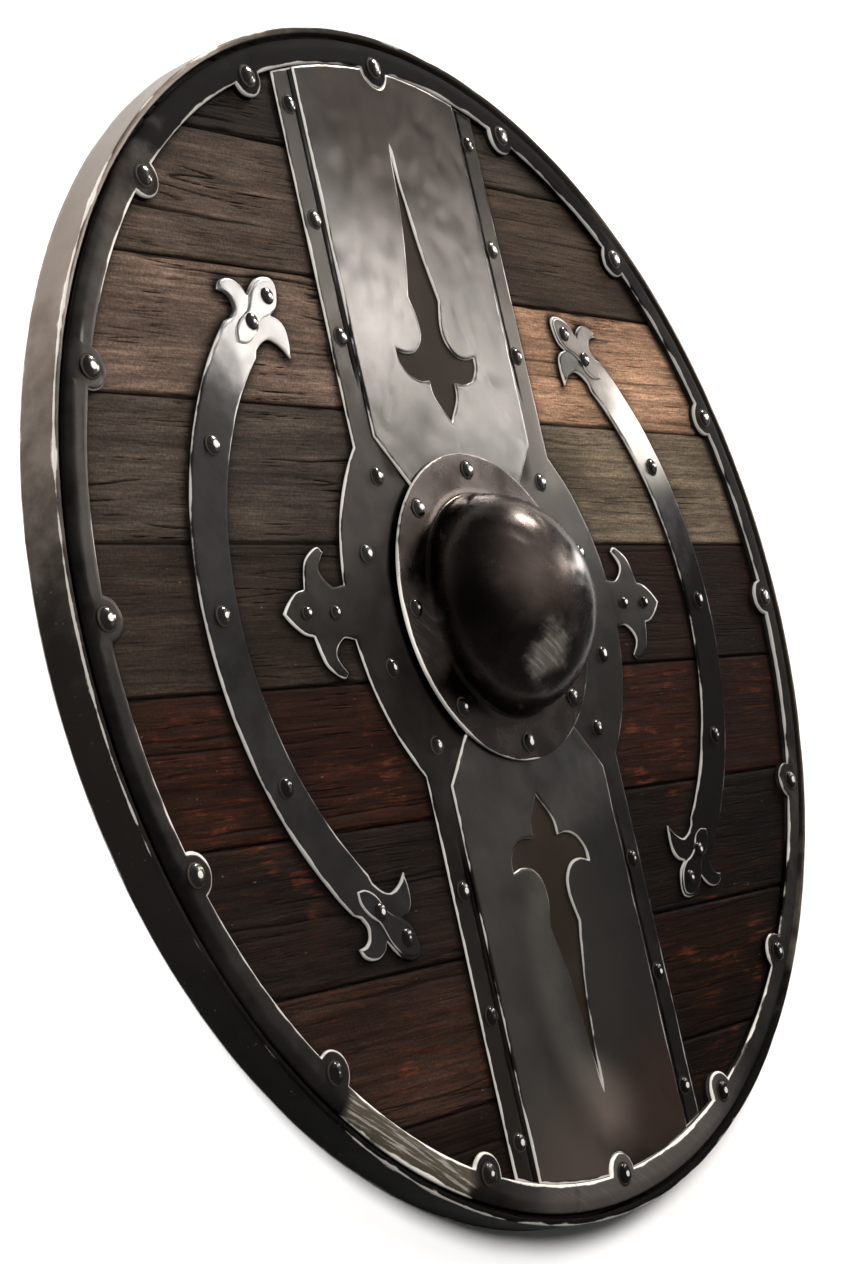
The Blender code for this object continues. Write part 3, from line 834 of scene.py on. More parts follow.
@dataclass(frozen=True)
class WoodFinish:
    """Old weathered wood with its grain along X.

    Attributes:
        name: The material's name.
        left: Its colour on the left half, with the painted light and shade of that half.
        right: Its colour on the right half, with the painted light and shade of that half.
        crack: Colour deep in the cracks, and of the painted shade round the fittings and under the rim.
        paint: Colours of the old paint, faded and dark.
        paint_share: How much paint is left, from 0 to 1.
        offset: Move of the patterns, so that planks differ.
        roughness: Roughness of the surface.
    """

    name: str
    left: Colour
    right: Colour
    crack: Colour = (0.004, 0.003, 0.0025)
    paint: tuple[Colour, Colour] = ((0.085, 0.022, 0.010), (0.036, 0.0085, 0.0045))
    paint_share: float = 0.0
    offset: float = 0.0
    roughness: float = 0.66

    def mix_up(self) -> bpy.types.Material:
        """Makes the material.

        Returns:
            The finished material.
        """
        recipe = Recipe(self.name, self.offset)
        spans = WOOD_SPANS
        grain, fibres, grit = (recipe.noise(pattern) for pattern in (GRAIN, FIBRES, WOOD_GRIT))
        across = recipe.node("SeparateXYZ", {0: recipe.coordinates}).outputs["X"]
        colour = recipe.mix(recipe.rise(across, -HALVES_MEET, HALVES_MEET), self.left, self.right)
        tone, blotches, ridge = 1.0, recipe.noise(WOOD_PATCHES), recipe.attribute("ridge")
        for value, name in ((grain, "grain tone"), (fibres, "fibre tone"), (blotches, "patch tone"),
                            (grit, "grit tone"), (ridge, "ridge tone")):
            tone = recipe.times(tone, recipe.rise(value, *spans[name]))
        colour = recipe.scaled(colour, tone)
        if self.paint_share:
            start = PAINT_START - PAINT_START_SPREAD * self.paint_share
            end = PAINT_END - PAINT_END_SPREAD * self.paint_share
            where = recipe.rise(recipe.noise(PAINTED_PLACES), start, end)
            flakes = recipe.times(recipe.rise(recipe.noise(FLAKES), *spans["flake"]), where)
            hue = recipe.mix(recipe.rise(recipe.noise(PAINT_HUES), *spans["hue"]), *self.paint[::-1])
            colour = recipe.mix(recipe.times(flakes, PAINT_COVER), colour,
                                recipe.scaled(hue, recipe.rise(fibres, *spans["paint tone"])))
        specks = recipe.times(recipe.rise(recipe.noise(SPECKS), *spans["speck"]), SPECK_SHARE)
        colour = recipe.mix(specks, colour, SPECK_COLOUR)
        # Dark cracks and worn sides, and painted shade round the fittings, at the right ends and under the
        # rim.
        for name in ("crack", "grime"):
            colour = recipe.mix(recipe.attribute(name), colour, self.crack)
        dull = recipe.rise(fibres, *NOISE_SPAN, self.roughness - SMOOTHER, self.roughness + ROUGHER)
        coarse = recipe.bump(grain, *WOOD_BUMPS["grain"])
        rough = recipe.bump(fibres, *WOOD_BUMPS["fibres"], coarse)
        return recipe.dress({
            "Base Color": colour,
            "Specular IOR Level": WOOD_GLOSS,
            "Roughness": dull,
            "Normal": recipe.bump(grit, *WOOD_BUMPS["grit"], rough),
        })


# Rim plate: patches of painted shade darken its top, lower left and right; a lighter patch lies at its
# bottom, and a worn, scratched patch on its lower left.
DARK_STEEL = SteelFinish("blackened_steel", (0.062, 0.054, 0.049), (0.105, 0.094, 0.086), patches=(
    Patch((0.0, 0.40, 0.02), 0.36, 0.95, core=0.7),
    Patch((-0.30, -0.22, 0.02), 0.14, 0.4),
    Patch((0.37, 0.10, 0.02), 0.34, 0.86, core=0.6),
    Patch((0.03, -0.38, 0.02), 0.17, 0.85, (0.118, 0.103, 0.095), core=0.5, scratched=0.05),
    Patch((-0.203, -0.304, 0.02), 0.062, 0.9, (0.105, 0.088, 0.062), core=0.85, scratched=0.65),
))
# Band: two light patches paint the highlight across its upper half and one lightens its lower left; patches
# of painted shade darken its right and its floor in the lower opening.
BAND_STEEL = SteelFinish(
    "band_steel", dark=(0.028, 0.023, 0.020), light=(0.049, 0.042, 0.037), offset=5.3, patches=(
        Patch((-0.10, 0.24, 0.02), 0.14, 0.7, (0.15, 0.136, 0.126)),
        Patch((0.10, 0.15, 0.02), 0.16, 0.55, (0.16, 0.142, 0.126)),
        Patch((-0.10, -0.28, 0.02), 0.14, 0.8, (0.085, 0.068, 0.056)),
        Patch((0.15, -0.08, 0.02), 0.13, 0.6),
        Patch((0.0, -0.19, 0.02), 0.055, 0.75, core=0.4),
        Patch((0.0, -0.27, 0.02), 0.050, 0.75, core=0.4),
    ))
# Hoop: patches of painted shade darken its lower left, its bottom and its top, leaving the upper left
# lighter.
HOOP_STEEL = SteelFinish(
    "hoop_steel", dark=(0.205, 0.168, 0.140), light=(0.245, 0.206, 0.176), offset=3.1,
    brown=(0.15, 0.105, 0.080), scratches=0.0, patches=(
        Patch((-0.36, -0.16, 0.01), 0.37, 0.965, core=0.35),
        Patch((0.0, -0.40, 0.01), 0.45, 0.99, core=0.6),
        Patch((0.10, 0.40, 0.01), 0.30, 0.9, core=0.5),
    ))
# Panels: light patches paint the highlights on the upper panel and light on the lower left of the lower
# panel; dark patches paint shade at the top and on the lower right.
PANEL_STEEL = SteelFinish(
    "panel_steel", dark=(0.092, 0.086, 0.080), light=(0.122, 0.115, 0.108), offset=7.3, brown_share=0.2,
    wear=0.64, scratches=0.008, hammer=0.5 * MM, grain=0.03 * MM, roughness=(0.29, 0.312), patches=(
        Patch((-0.060, 0.21, 0.025), 0.10, 0.34, (0.5, 0.48, 0.46), ragged=0.02),
        Patch((0.05, 0.12, 0.025), 0.09, 0.28, (0.4, 0.38, 0.36), ragged=0.02),
        Patch((0.01, 0.38, 0.025), 0.20, 0.85, (0.076, 0.059, 0.052), ragged=0.02),
        Patch((-0.05, -0.23, 0.025), 0.15, 0.45, (0.24, 0.215, 0.19), core=0.5, ragged=0.02),
        Patch((0.085, -0.235, 0.025), 0.17, 0.90, core=0.5, ragged=0.02),
        Patch((-0.03, -0.39, 0.025), 0.12, 0.85, (0.34, 0.26, 0.22), core=0.3, ragged=0.02),
        Patch((0.085, -0.37, 0.025), 0.12, 0.92, (0.026, 0.0155, 0.0125), core=0.45, ragged=0.02),
    ))
# Boss: a lighter patch paints light on the dome's middle; a dull, scratched place lies low on the dome; a
# duller patch lies on the flange's left; a dark patch paints shadow on the dome's left and the flange beside
# it.
BOSS_STEEL = SteelFinish(
    "boss_steel", dark=(0.060, 0.047, 0.041), light=(0.095, 0.077, 0.068), offset=11.9,
    roughness=(0.22, 0.31), hammer=0.3 * MM, scratches=0.04, patches=(
        Patch((-0.030, 0.010, 0.0785), 0.044, 0.6, (0.23, 0.172, 0.150), core=0.0, scratched=0.05,
              ragged=0.15),
        Patch((-0.020, -0.042, 0.0728), 0.026, 0.8, (0.22, 0.195, 0.165), core=0.25, scratched=0.4,
              ragged=0.3),
        Patch((-0.092, -0.012, -0.012), 0.055, 0.9, (0.056, 0.044, 0.039), core=0.75, scratched=0.05),
        Patch((-0.074, -0.004, 0.050), 0.050, 0.92, (0.011, 0.009, 0.008), core=0.0, ragged=0.02),
    ))
# Straps: light patches paint highlights on both upper fleurs and light on the upper right; patches of
# painted shade darken the left strap's middle and the lower parts of both straps.
STRAP_STEEL = SteelFinish(
    "strap_steel", dark=(0.052, 0.048, 0.046), light=(0.078, 0.073, 0.070), offset=17.0, brown_share=0.2,
    wear=0.6, patches=(
        Patch((-0.17, 0.20, 0.02), 0.095, 0.95, (0.72, 0.70, 0.69), core=0.45),
        Patch((-0.26, 0.04, 0.02), 0.13, 0.5),
        Patch((0.20, 0.18, 0.02), 0.05, 0.9, (0.16, 0.14, 0.125), core=0.5, ragged=0.2),
        Patch((0.235, 0.125, 0.02), 0.058, 0.95, (0.70, 0.65, 0.60), core=0.3),
        Patch((0.26, -0.12, 0.02), 0.25, 0.96, core=0.5),
        Patch((-0.20, -0.16, 0.02), 0.22, 0.75, core=0.2),
    ))
# Rivets: the bright tone paints the highlight on their tops; dark patches paint shade on the lower rivets.
RIVET_STEEL = SteelFinish(
    "rivet_steel", dark=(0.21, 0.195, 0.18), light=(0.36, 0.34, 0.32), offset=23.7, brown_share=0.25,
    bright=(0.80, 0.765, 0.73), roughness=(0.16, 0.28), hammer=0.2 * MM, patches=(
        Patch((0.25, -0.25, 0.03), 0.40, 0.85, (0.050, 0.044, 0.040), core=0.5),
        Patch((-0.18, -0.28, 0.03), 0.30, 0.6, (0.070, 0.062, 0.056), core=0.4),
    ))

# Each plank's colour on its left and right half, and its share of old paint. Beside each plank's own tone
# they hold painted light and shade: the right halves of the third and fourth planks are painted lit like a
# pool of light, and the lower planks are painted darker as the light falls off.
PLANK_TONES = (
    ((0.0185, 0.0130, 0.0100), (0.036, 0.028, 0.021), 0.0),
    ((0.053, 0.037, 0.0275), (0.041, 0.0275, 0.0185), 0.0),
    ((0.105, 0.070, 0.052), (0.300, 0.172, 0.106), 0.1),
    ((0.044, 0.033, 0.0255), (0.111, 0.083, 0.056), 0.0),
    ((0.022, 0.0150, 0.0110), (0.0115, 0.0050, 0.0030), 0.0),
    ((0.0165, 0.0062, 0.0038), (0.0130, 0.0038, 0.0018), 0.6),
    ((0.0108, 0.0068, 0.0053), (0.0047, 0.0024, 0.0014), 0.2),
    ((0.0260, 0.0130, 0.0090), (0.0056, 0.0023, 0.0012), 0.4),
    ((0.0100, 0.0054, 0.0036), (0.0050, 0.0026, 0.0016), 0.2),
)
GRIP_FINISH = WoodFinish("ash_grip", left=(0.10, 0.066, 0.042), right=(0.10, 0.066, 0.042),
                         offset=41.0, roughness=0.5)


# The shield

RIM_INNER_RADIUS = 356 * MM
LOBE_COUNT = 16
LOBE_PITCH = 2 * math.pi / LOBE_COUNT
LOBE_RADIUS = 13 * MM
LOBE_CIRCLE = RIM_INNER_RADIUS + 1 * MM
FLANGE_RADIUS = 99 * MM
DISC_RADIUS = 147 * MM
HAND_HOLE_RADIUS = 62 * MM
CLEARANCE = 0.3 * MM
SEAM_ANGLE = -98.4
SEAM_HALF = 0.13
LOBE_STEPS = 18
BETWEEN_LOBES_STEPS = 10


def rim_lobe(angle: float, inset: float) -> tuple[list[Point], float]:
    """One lobe of the rim plate's inside.

    Args:
        angle: Where the lobe is, in radians.
        inset: How far the line is drawn in.

    Returns:
        The lobe's points, and half of the angle that it takes up.
    """
    radius = RIM_INNER_RADIUS - inset
    lobe = LOBE_RADIUS + inset
    reach_angle = math.acos((LOBE_CIRCLE ** 2 + lobe ** 2 - radius ** 2) / (2 * LOBE_CIRCLE * lobe))
    spread = math.asin(lobe * math.sin(reach_angle) / radius)
    centre = on_circle(LOBE_CIRCLE, angle)
    inward = angle + math.pi
    return arc(lobe, inward + reach_angle, inward - reach_angle, LOBE_STEPS, centre), spread


def rim_inner_outline() -> list[Point]:
    """The rim plate's inner outline, with its round lobes and the ends of its seam."""
    seam = [math.radians(SEAM_ANGLE % 360 + k * SEAM_HALF) for k in (-1, 0, 1)]
    points = []
    for k in range(LOBE_COUNT):
        angle = math.pi / 2 + k * LOBE_PITCH
        lobe, spread = rim_lobe(angle, 0.0)
        between = arc(RIM_INNER_RADIUS, angle + spread, angle + LOBE_PITCH - spread, BETWEEN_LOBES_STEPS)
        points += lobe + between[1:-1]
    turns = [math.atan2(y, x) % (2 * math.pi) for x, y in points]
    after = next(k for k in range(len(turns)) if turns[k - 1] < seam[1] < turns[k])
    return points[:after] + [on_circle(RIM_INNER_RADIUS, a) for a in seam] + points[after:]


def inside_rim(half: float) -> list[Point]:
    """The line just inside the rim plate at the top, from one side of a band to the other.

    Args:
        half: Half of the band's width.

    Returns:
        The points, from right to left.
    """
    radius = RIM_INNER_RADIUS - CLEARANCE
    lobe, spread = rim_lobe(math.pi / 2, CLEARANCE)
    start = math.acos(half / radius)
    right = arc(radius, start, math.pi / 2 - spread, 8)
    return right[:-1] + lobe + mirrored(right, flip_x=True)[1:]


@dataclass
class Rivet:
    """A domed rivet head over a thin washer, with a painted highlight on its top and painted shade on its
    washer.

    Attributes:
        radius: Radius of the washer.
        height: Height of the head.
        seed: Which dents it has.
        steps: Number of flats round it.
        head: Radius of the head, as a share of the washer's.
        step: Height of the head's foot, as a share of the head's height.
        washer: The washer in section, as shares of radius and height.
        dent_size: Length of a dent.
        dent_depth: Greatest depth of a dent.
        dented_from: Height where the dents start, as a share of its height.
        worn_and_glint_top: Shares of its radius between which its pale top, a painted highlight, ends, and
            how sharply.
        shade_ring: Shares of its radius between which the painted shade on its washer starts.
        crease: Edges sharper than this many degrees stay sharp.
    """

    radius: float
    height: float = 3.0 * MM
    seed: int = 1
    steps: int = 24
    head: float = 0.84
    step: float = 0.12
    washer: tuple[Point, ...] = ((0.86, 0.05), (0.94, 0.05), (1.0, 0.0), (0.0, 0.0))
    dent_size: float = 4 * MM
    dent_depth: float = 0.35 * MM
    dented_from: float = 0.25
    worn_and_glint_top: tuple[float, float, float] = (0.10, 0.50, 1.2)
    shade_ring: tuple[float, float] = (0.80, 0.88)
    crease: float = 48.0

    def profile(self) -> list[Point]:
        """The head in section, from its top down to the foot of its washer."""
        angles = [math.radians(15 * k) for k in range(7)]
        dome = [(self.head * math.sin(a), self.step + (1 - self.step) * math.cos(a)) for a in angles]
        dome[0] = (0.0, 1.0)
        return [(self.radius * r, self.height * z) for r, z in (*dome, *self.washer)]

    def make(self, name: str) -> bpy.types.Object:
        """Builds one head on the origin, with its "edge" attribute.

        Args:
            name: The piece's name.

        Returns:
            The piece.
        """
        piece = turned(name, self.profile(), self.steps)
        places = places_of(piece)
        knocks = Swells(self.dent_size, self.dent_size, self.seed).height(places[:, 0], places[:, 1])
        top = slope(places[:, 2], self.dented_from * self.height, self.height)
        places[:, 2] -= self.dent_depth * top * (0.5 + 0.5 * knocks)
        move_points(piece, places)
        radial = np.hypot(places[:, 0], places[:, 1]) / self.radius
        start, end, drop = self.worn_and_glint_top
        # The pale top is a painted highlight, and the dark washer is painted shade.
        set_attribute(piece, "edge", 1.0 - drop * slope(radial, start, end))
        set_attribute(piece, "grime", slope(radial, *self.shade_ring))
        smooth(piece, self.crease)
        return piece


@dataclass
class SubAssembly:
    """A group of pieces that are built together, on the body "root"."""

    made: list[bpy.types.Object] = field(default_factory=list)

    def keep(self, piece: bpy.types.Object, slot: Slot, finish: bpy.types.Material, *nodes: str) -> None:
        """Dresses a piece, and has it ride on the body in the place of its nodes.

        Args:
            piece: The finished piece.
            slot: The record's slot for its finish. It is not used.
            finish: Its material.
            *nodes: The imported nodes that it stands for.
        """
        piece.data.materials.clear()
        piece.data.materials.append(finish)
        piece.name = piece.data.name = piece.name.split(".")[0] + "_dressed"
        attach(piece, BODY)
        if nodes:
            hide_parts(*nodes)
        self.made.append(piece)
        LOG.info("%s: %d points", piece.name, len(piece.data.vertices))

    def add_rivets(self, model: Rivet, names: Sequence[str], places: Sequence[tuple[float, float, float]],
                   finish: bpy.types.Material, with_nodes: bool = True) -> None:
        """Sets copies of one rivet head at these places.

        Args:
            model: The rivet head.
            names: Names of the copies, which are the nodes' names where there are nodes.
            places: Where their feet stand.
            finish: Their material.
            with_nodes: Whether each stands for the node of its name.
        """
        rng = random.Random(model.seed)
        pattern = model.make("rivet_pattern")
        for name, place in zip(names, places):
            turn = Matrix.Rotation(rng.uniform(0.0, 2 * math.pi), 4, "Z")
            piece = copy_to(pattern, name, Matrix.Translation(place) @ turn)
            self.keep(piece, Slot.RIVET_STEEL, finish, *([name] if with_nodes else []))
        bpy.data.objects.remove(pattern, do_unlink=True)


@dataclass
class Edge(SubAssembly):
    """The hoop round the side and the lobed rim plate, with its rivets.

    Attributes:
        wall: Thickness of the hoop.
        lip: Width of the hoop's rounded edges.
        bevel: Width of the bevel on its inner front edge.
        worn_and_glint_top: How far in from its side its front edge is worn.
        plate_roll: How far the rim plate's outer side is rolled down.
        rivet_radius: Radius of the rim's rivets.
        worn_stretch: Where the rim plate is worn on both sides, in degrees.
        worn_fade: Degrees over which that wear comes and goes.
        worn_band: How far in from its edges the hoop is worn.
        steps: Number of flats round the hoop.
        crease: Edges of the hoop sharper than this many degrees stay sharp.
        seam_depth: Depth of the rim plate's butt seam.
        roll_width: How wide the rim plate's rolled side is.
        roll_power: How late that side falls. 1 is an even S-shaped fall.
        dents: Dents in the hoop's side, over its angle and height.
        knocks: Knocks in the hoop's front edge, over its angle.
        hammer: Hammer marks in the rim plate, over its angle and radius.
    """

    wall: float = 4 * MM
    lip: float = 1.1 * MM
    bevel: float = 0.66 * MM
    worn_and_glint_top: float = 1.5 * MM
    plate_roll: float = 1.7 * MM
    rivet_radius: float = 7.5 * MM
    worn_stretch: tuple[float, float] = (-135.0, -112.5)
    worn_fade: float = 4.0
    worn_band: float = 1.7 * MM
    steps: int = 240
    crease: float = 48.0
    seam_depth: float = 0.8 * MM
    roll_width: float = 8 * MM
    roll_power: float = 1.3
    dents: Swells = Swells(1 / 9, 22 * MM, 31, 0.45 * MM, -0.2, 1.0, layers=3)
    knocks: Swells = Swells(1 / 9, 1.0, 47, 0.5 * MM, 0.15, 0.9)
    hammer: Swells = Swells(1 / 26, 16 * MM, 71, 0.35 * MM, -0.1, 1.0, layers=3)

    def build(self) -> None:
        """Builds the hoop, the rim plate and the rivets."""
        self.build_hoop()
        self.build_plate()
        finish = RIVET_STEEL.mix_up()
        base = level("rim_rivet_01")[0]
        names = [f"rim_rivet_{k + 1:02d}" for k in range(LOBE_COUNT)]
        angles = [math.pi / 2 - LOBE_PITCH * k for k in range(LOBE_COUNT)]
        places = [(*on_circle(LOBE_CIRCLE, a), base) for a in angles]
        self.add_rivets(Rivet(self.rivet_radius, seed=5), names, places, finish)

    def build_hoop(self) -> None:
        """Builds the hoop, with knocks along its side and its front edge."""
        low, high = level("edge_hoop")
        outer = reach("edge_hoop")
        inner = outer - self.wall
        lip = self.lip
        rounding = arc(lip, math.pi / 2, 0.0, 4, (outer - lip, high - lip))
        wall = [(outer, high - lip - (high - low - 2 * lip) * k / 6) for k in range(1, 6)]
        foot = [(outer, low + lip), (outer - CORNER * lip, low + CORNER * lip), (outer - lip, low)]
        back = [(inner, low), (inner, high - self.bevel), (inner + self.bevel, high)]
        hoop = turned("edge_hoop", rounding + wall + foot + back, self.steps)
        places = places_of(hoop)
        angle = np.arctan2(places[:, 1], places[:, 0])
        radius = np.hypot(places[:, 0], places[:, 1])
        gap_front = np.abs(places[:, 2] - high)
        gap_foot = np.abs(places[:, 2] - low)
        near = np.minimum(np.hypot(gap_front, np.minimum(outer - radius, self.worn_and_glint_top)), gap_foot)
        set_attribute(hoop, "edge", 1.0 - near / self.worn_band)
        inward = self.dents.marks(angle, places[:, 2]) * (radius > outer - 0.5 * self.wall)
        lower = self.knocks.marks(angle, 0 * angle)
        share = (radius - inward) / radius
        places[:, 0] *= share
        places[:, 1] *= share
        places[:, 2] -= lower * slope(places[:, 2], low + 0.4 * (high - low), high)
        move_points(hoop, places)
        smooth(hoop, self.crease)
        self.keep(hoop, Slot.DARK_STEEL, HOOP_STEEL.mix_up(), "edge_hoop")

    def seam(self, x: np.ndarray, y: np.ndarray) -> np.ndarray:
        """How much of the butt seam of the rim plate there is, from 0 to 1."""
        return 1.0 * (np.abs(np.degrees(np.arctan2(y, x)) - SEAM_ANGLE) < 0.5 * SEAM_HALF)

    def relief(self, x: np.ndarray, y: np.ndarray) -> np.ndarray:
        """How the rim plate's front rolls down outwards, with its seam and hammer marks."""
        radius = np.hypot(x, y)
        outer = reach("rim_plate")
        angle = np.arctan2(y, x)
        rolled = self.plate_roll * slope(radius, outer - self.roll_width, outer) ** self.roll_power
        return -rolled - self.hammer.marks(angle, radius) - self.seam_depth * self.seam(x, y)

    def build_plate(self) -> None:
        """Builds the rim plate between its round outside and its lobed inside."""
        low, high = level("rim_plate")
        inner = rim_inner_outline()
        outer_radius = reach("rim_plate")
        outer = [on_circle(outer_radius, math.atan2(y, x)) for x, y in inner]
        sheet = Sheet("rim_plate", (outer, inner), low, high, ease=1.4 * MM, worn_band=1.8 * MM,
                      relief=self.relief, rings=5)
        plate = sheet.make()
        places = places_of(plate)
        gap = distance_to([inner], places[:, 0], places[:, 1])
        turn = np.degrees(np.arctan2(places[:, 1], places[:, 0]))
        start, end = self.worn_stretch
        worn = slope(turn, start, start + self.worn_fade) - slope(turn, end - self.worn_fade, end)
        outer_gap = distance_to([outer], places[:, 0], places[:, 1])
        worn_from = high - sheet.ease - 0.5 * sheet.worn_wall
        edge = (places[:, 2] > worn_from) - gap / (sheet.ease + sheet.worn_band)
        worn_edge = worn * (places[:, 2] > low + MM) - outer_gap / (sheet.ease + sheet.worn_band)
        set_attribute(plate, "edge", np.maximum(edge, worn_edge))
        set_attribute(plate, "grime", self.seam(places[:, 0], places[:, 1]))
        self.keep(plate, Slot.DARK_STEEL, DARK_STEEL.mix_up(), "rim_plate")


@dataclass
class Board(SubAssembly):
    """The planks, with their weathered fronts.

    Attributes:
        count: Number of planks across the board.
        row: Spacing of the points across the grain.
        column: Spacing of the points along the grain where the front shows.
        hidden_column: Spacing where the band covers the board.
        band_half: Half of the width that the band covers.
        deepest: Greatest depth of the relief.
        ridge_depth: Depth between the ridges of the grain.
        hollow_depth: Depth of the hollows.
        crack_depth: Depth of a crack.
        worn_depth: How far the long sides are worn down.
        worn_side: How far in from its sides a plank is worn.
        cracks: Number of long cracks in a plank.
        crack_margin: Least gap from a long crack to the plank's sides.
        crack_middle: Greatest distance of its middle from the board's.
        crack_half: Half of its length, from and to.
        crack_width: Its width, from and to.
        crack_end: Half its width at its ends, as a share of that.
        crack_dirt: Share of dirt in a crack.
        side_dirt: Share of dirt along the worn sides.
        hollow_tone: How much darker a hollow is than the ridges.
        right_calm: How much less the right half is weathered, and how far out it gets there.
        least_ridges: Height of the ridges where there is no weathering, as a share.
        calm_from: The first plank that is less weathered.
        calm: How much of the weathering there is from that plank on.
        pattern_shift: Move of the finish's patterns from plank to plank.
        crease: Edges sharper than this many degrees stay sharp.
        near_shade: Share and reach of the painted shade right beside the fittings.
        far_shade: Share and reach of the painted shade further away from them.
        end_shade: Share of the painted shade at the right ends of the calmer planks, and where it starts and
            ends.
        drift: How the grain wanders.
        quiver: Finer wandering of the grain.
        coarse: The grain's coarse ridges.
        fine: Its fine ridges.
        hollows: Long hollows in it.
        splits: Lines where it splits.
        split_places: Where there are such splits.
        checks: Lines of the short, fine checks.
        check_places: Where there are such checks.
        wander: How a long crack wanders.
        chips: Chips along the sides.
    """

    count: int = 9
    row: float = 0.55 * MM
    column: float = 4.0 * MM
    hidden_column: float = 11 * MM
    band_half: float = 100 * MM
    deepest: float = 2.2 * MM
    ridge_depth: float = 0.75 * MM
    hollow_depth: float = 0.45 * MM
    crack_depth: float = 1.5 * MM
    worn_depth: float = 1.7 * MM
    worn_side: float = 1.0 * MM
    cracks: int = 5
    crack_margin: float = 3 * MM
    crack_middle: float = 330 * MM
    crack_half: tuple[float, float] = (40 * MM, 170 * MM)
    crack_width: tuple[float, float] = (0.4 * MM, 0.8 * MM)
    crack_end: float = 0.4
    crack_dirt: float = 0.95
    side_dirt: float = 0.9
    hollow_tone: float = 0.5
    right_calm: tuple[float, float] = (0.45, 120 * MM)
    least_ridges: float = 0.4
    calm_from: int = 4
    calm: float = 0.55
    pattern_shift: float = 2.7
    crease: float = 55.0
    near_shade: tuple[float, float] = (0.62, 4.5 * MM)
    far_shade: tuple[float, float] = (0.36, 22 * MM)
    end_shade: tuple[float, float, float] = (0.5, 150 * MM, 340 * MM)
    drift: Swells = Swells(240 * MM, 60 * MM, 0, 2.4 * MM)
    quiver: Swells = Swells(60 * MM, 20 * MM, 9, 0.7 * MM)
    coarse: Swells = Swells(210 * MM, 4.4 * MM, 1, 0.30)
    fine: Swells = Swells(80 * MM, 1.8 * MM, 2, 0.20)
    hollows: Swells = Swells(340 * MM, 17 * MM, 3, 1.0, 0.10, 0.50)
    splits: Swells = Swells(220 * MM, 7 * MM, 4, 1.0, 0.0, 0.05)
    split_places: Swells = Swells(70 * MM, 30 * MM, 5, 1.0, 0.0, 0.35)
    checks: Swells = Swells(90 * MM, 3 * MM, 8, 0.45, 0.0, 0.10)
    check_places: Swells = Swells(40 * MM, 20 * MM, 10, 1.0, -0.1, 0.3)
    wander: Swells = Swells(45 * MM, 1 * MM, 6, 1.1 * MM)
    chips: Swells = Swells(30 * MM, 1.0, 7, 1.3 * MM, 0.0, 0.9)

    def build(self) -> None:
        """Builds the planks from the top down. The one in the middle is in two halves."""
        self.back, self.front = level("plank_1")
        self.radius = reach("plank_5_right")
        self.width = 2 * self.radius / self.count
        strap = Straps().outline()
        self.fittings = [strap, mirrored(strap, flip_x=True), Band().outline(), circle(RIM_INNER_RADIUS, 90)]
        for k, (left, right, paint) in enumerate(PLANK_TONES):
            wood = WoodFinish(f"weathered_oak_{k + 1}", left, right, paint_share=paint,
                              offset=self.pattern_shift * k).mix_up()
            top = self.radius - k * self.width
            bottom = top - self.width
            if top > 0 > bottom:
                self.build_plank(f"plank_{k + 1}_left", k, bottom, top, Side.LEFT, wood)
                self.build_plank(f"plank_{k + 1}_right", k, bottom, top, Side.RIGHT, wood)
            else:
                self.build_plank(f"plank_{k + 1}", k, bottom, top, None, wood)

    def columns(self, left: float, right: float) -> np.ndarray:
        """Places of the columns along a plank, closer together where the front shows."""
        spots = [left]
        while spots[-1] < right:
            step = self.hidden_column if abs(spots[-1]) < self.band_half else self.column
            spots.append(spots[-1] + step)
        spots[-1] = right
        return np.array(spots)

    def build_plank(self, name: str, index: int, bottom: float, top: float, side: Side | None,
                    wood: bpy.types.Material) -> None:
        """Builds one plank, cut to the round board and the hand hole.

        Args:
            name: The piece's name, which is its node's.
            index: Which plank, from the top.
            bottom: Its lower side.
            top: Its upper side.
            side: Which half it is, or None for a whole plank.
            wood: Its material.
        """
        gap = CLEARANCE / 2
        low, high = bottom + gap, top - gap
        rows = max(2, round((high - low) / self.row))
        longest = math.sqrt(max(self.radius ** 2 - min(low ** 2, high ** 2), 0.0))
        if low < 0 < high:
            longest = self.radius
        nominal = self.columns(-longest if side is not Side.RIGHT else 0.0,
                               longest if side is not Side.LEFT else 0.0)
        near_side = min(abs(low), abs(high))
        if side is None and near_side < HAND_HOLE_RADIUS:
            crossing = math.sqrt(HAND_HOLE_RADIUS ** 2 - near_side ** 2)
            for corner in (-crossing, crossing):
                nominal[np.argmin(np.abs(nominal - corner))] = corner
        bpy.ops.object.select_all(action="DESELECT")
        bpy.ops.mesh.primitive_grid_add(x_subdivisions=len(nominal) - 1, y_subdivisions=rows, size=1.0)
        plank = bpy.context.active_object
        plank.name = plank.data.name = name
        grid = places_of(plank)
        column = np.rint((grid[:, 0] + 0.5) * (len(nominal) - 1)).astype(int)
        up = grid[:, 1] + 0.5
        along = nominal[column]
        bite = np.sqrt(np.maximum(HAND_HOLE_RADIUS ** 2 - along ** 2, 0.0)) if side is None else 0 * along
        floor = np.where(low > 0, np.maximum(low, bite), low)
        ceiling = np.where(high < 0, np.minimum(high, -bite), high)
        y = floor + (ceiling - floor) * up
        limit = np.sqrt(np.maximum(self.radius ** 2 - y ** 2, (2 * MM) ** 2))
        hole = np.sqrt(np.maximum(HAND_HOLE_RADIUS ** 2 - y ** 2, 0.0)) + gap
        share = (along - nominal[0]) / (nominal[-1] - nominal[0])
        left = hole if side is Side.RIGHT else -limit
        right = -hole if side is Side.LEFT else limit
        x = left + (right - left) * share
        move_points(plank, np.column_stack([x, y, np.full_like(x, self.back)]))
        with editing(plank):
            extrude(self.front - self.back)
            bpy.ops.mesh.normals_make_consistent(inside=False)
        self.raise_grain(plank, low, high, index)
        smooth(plank, self.crease)
        self.keep(plank, Slot.PLANK_WOOD, wood, name)

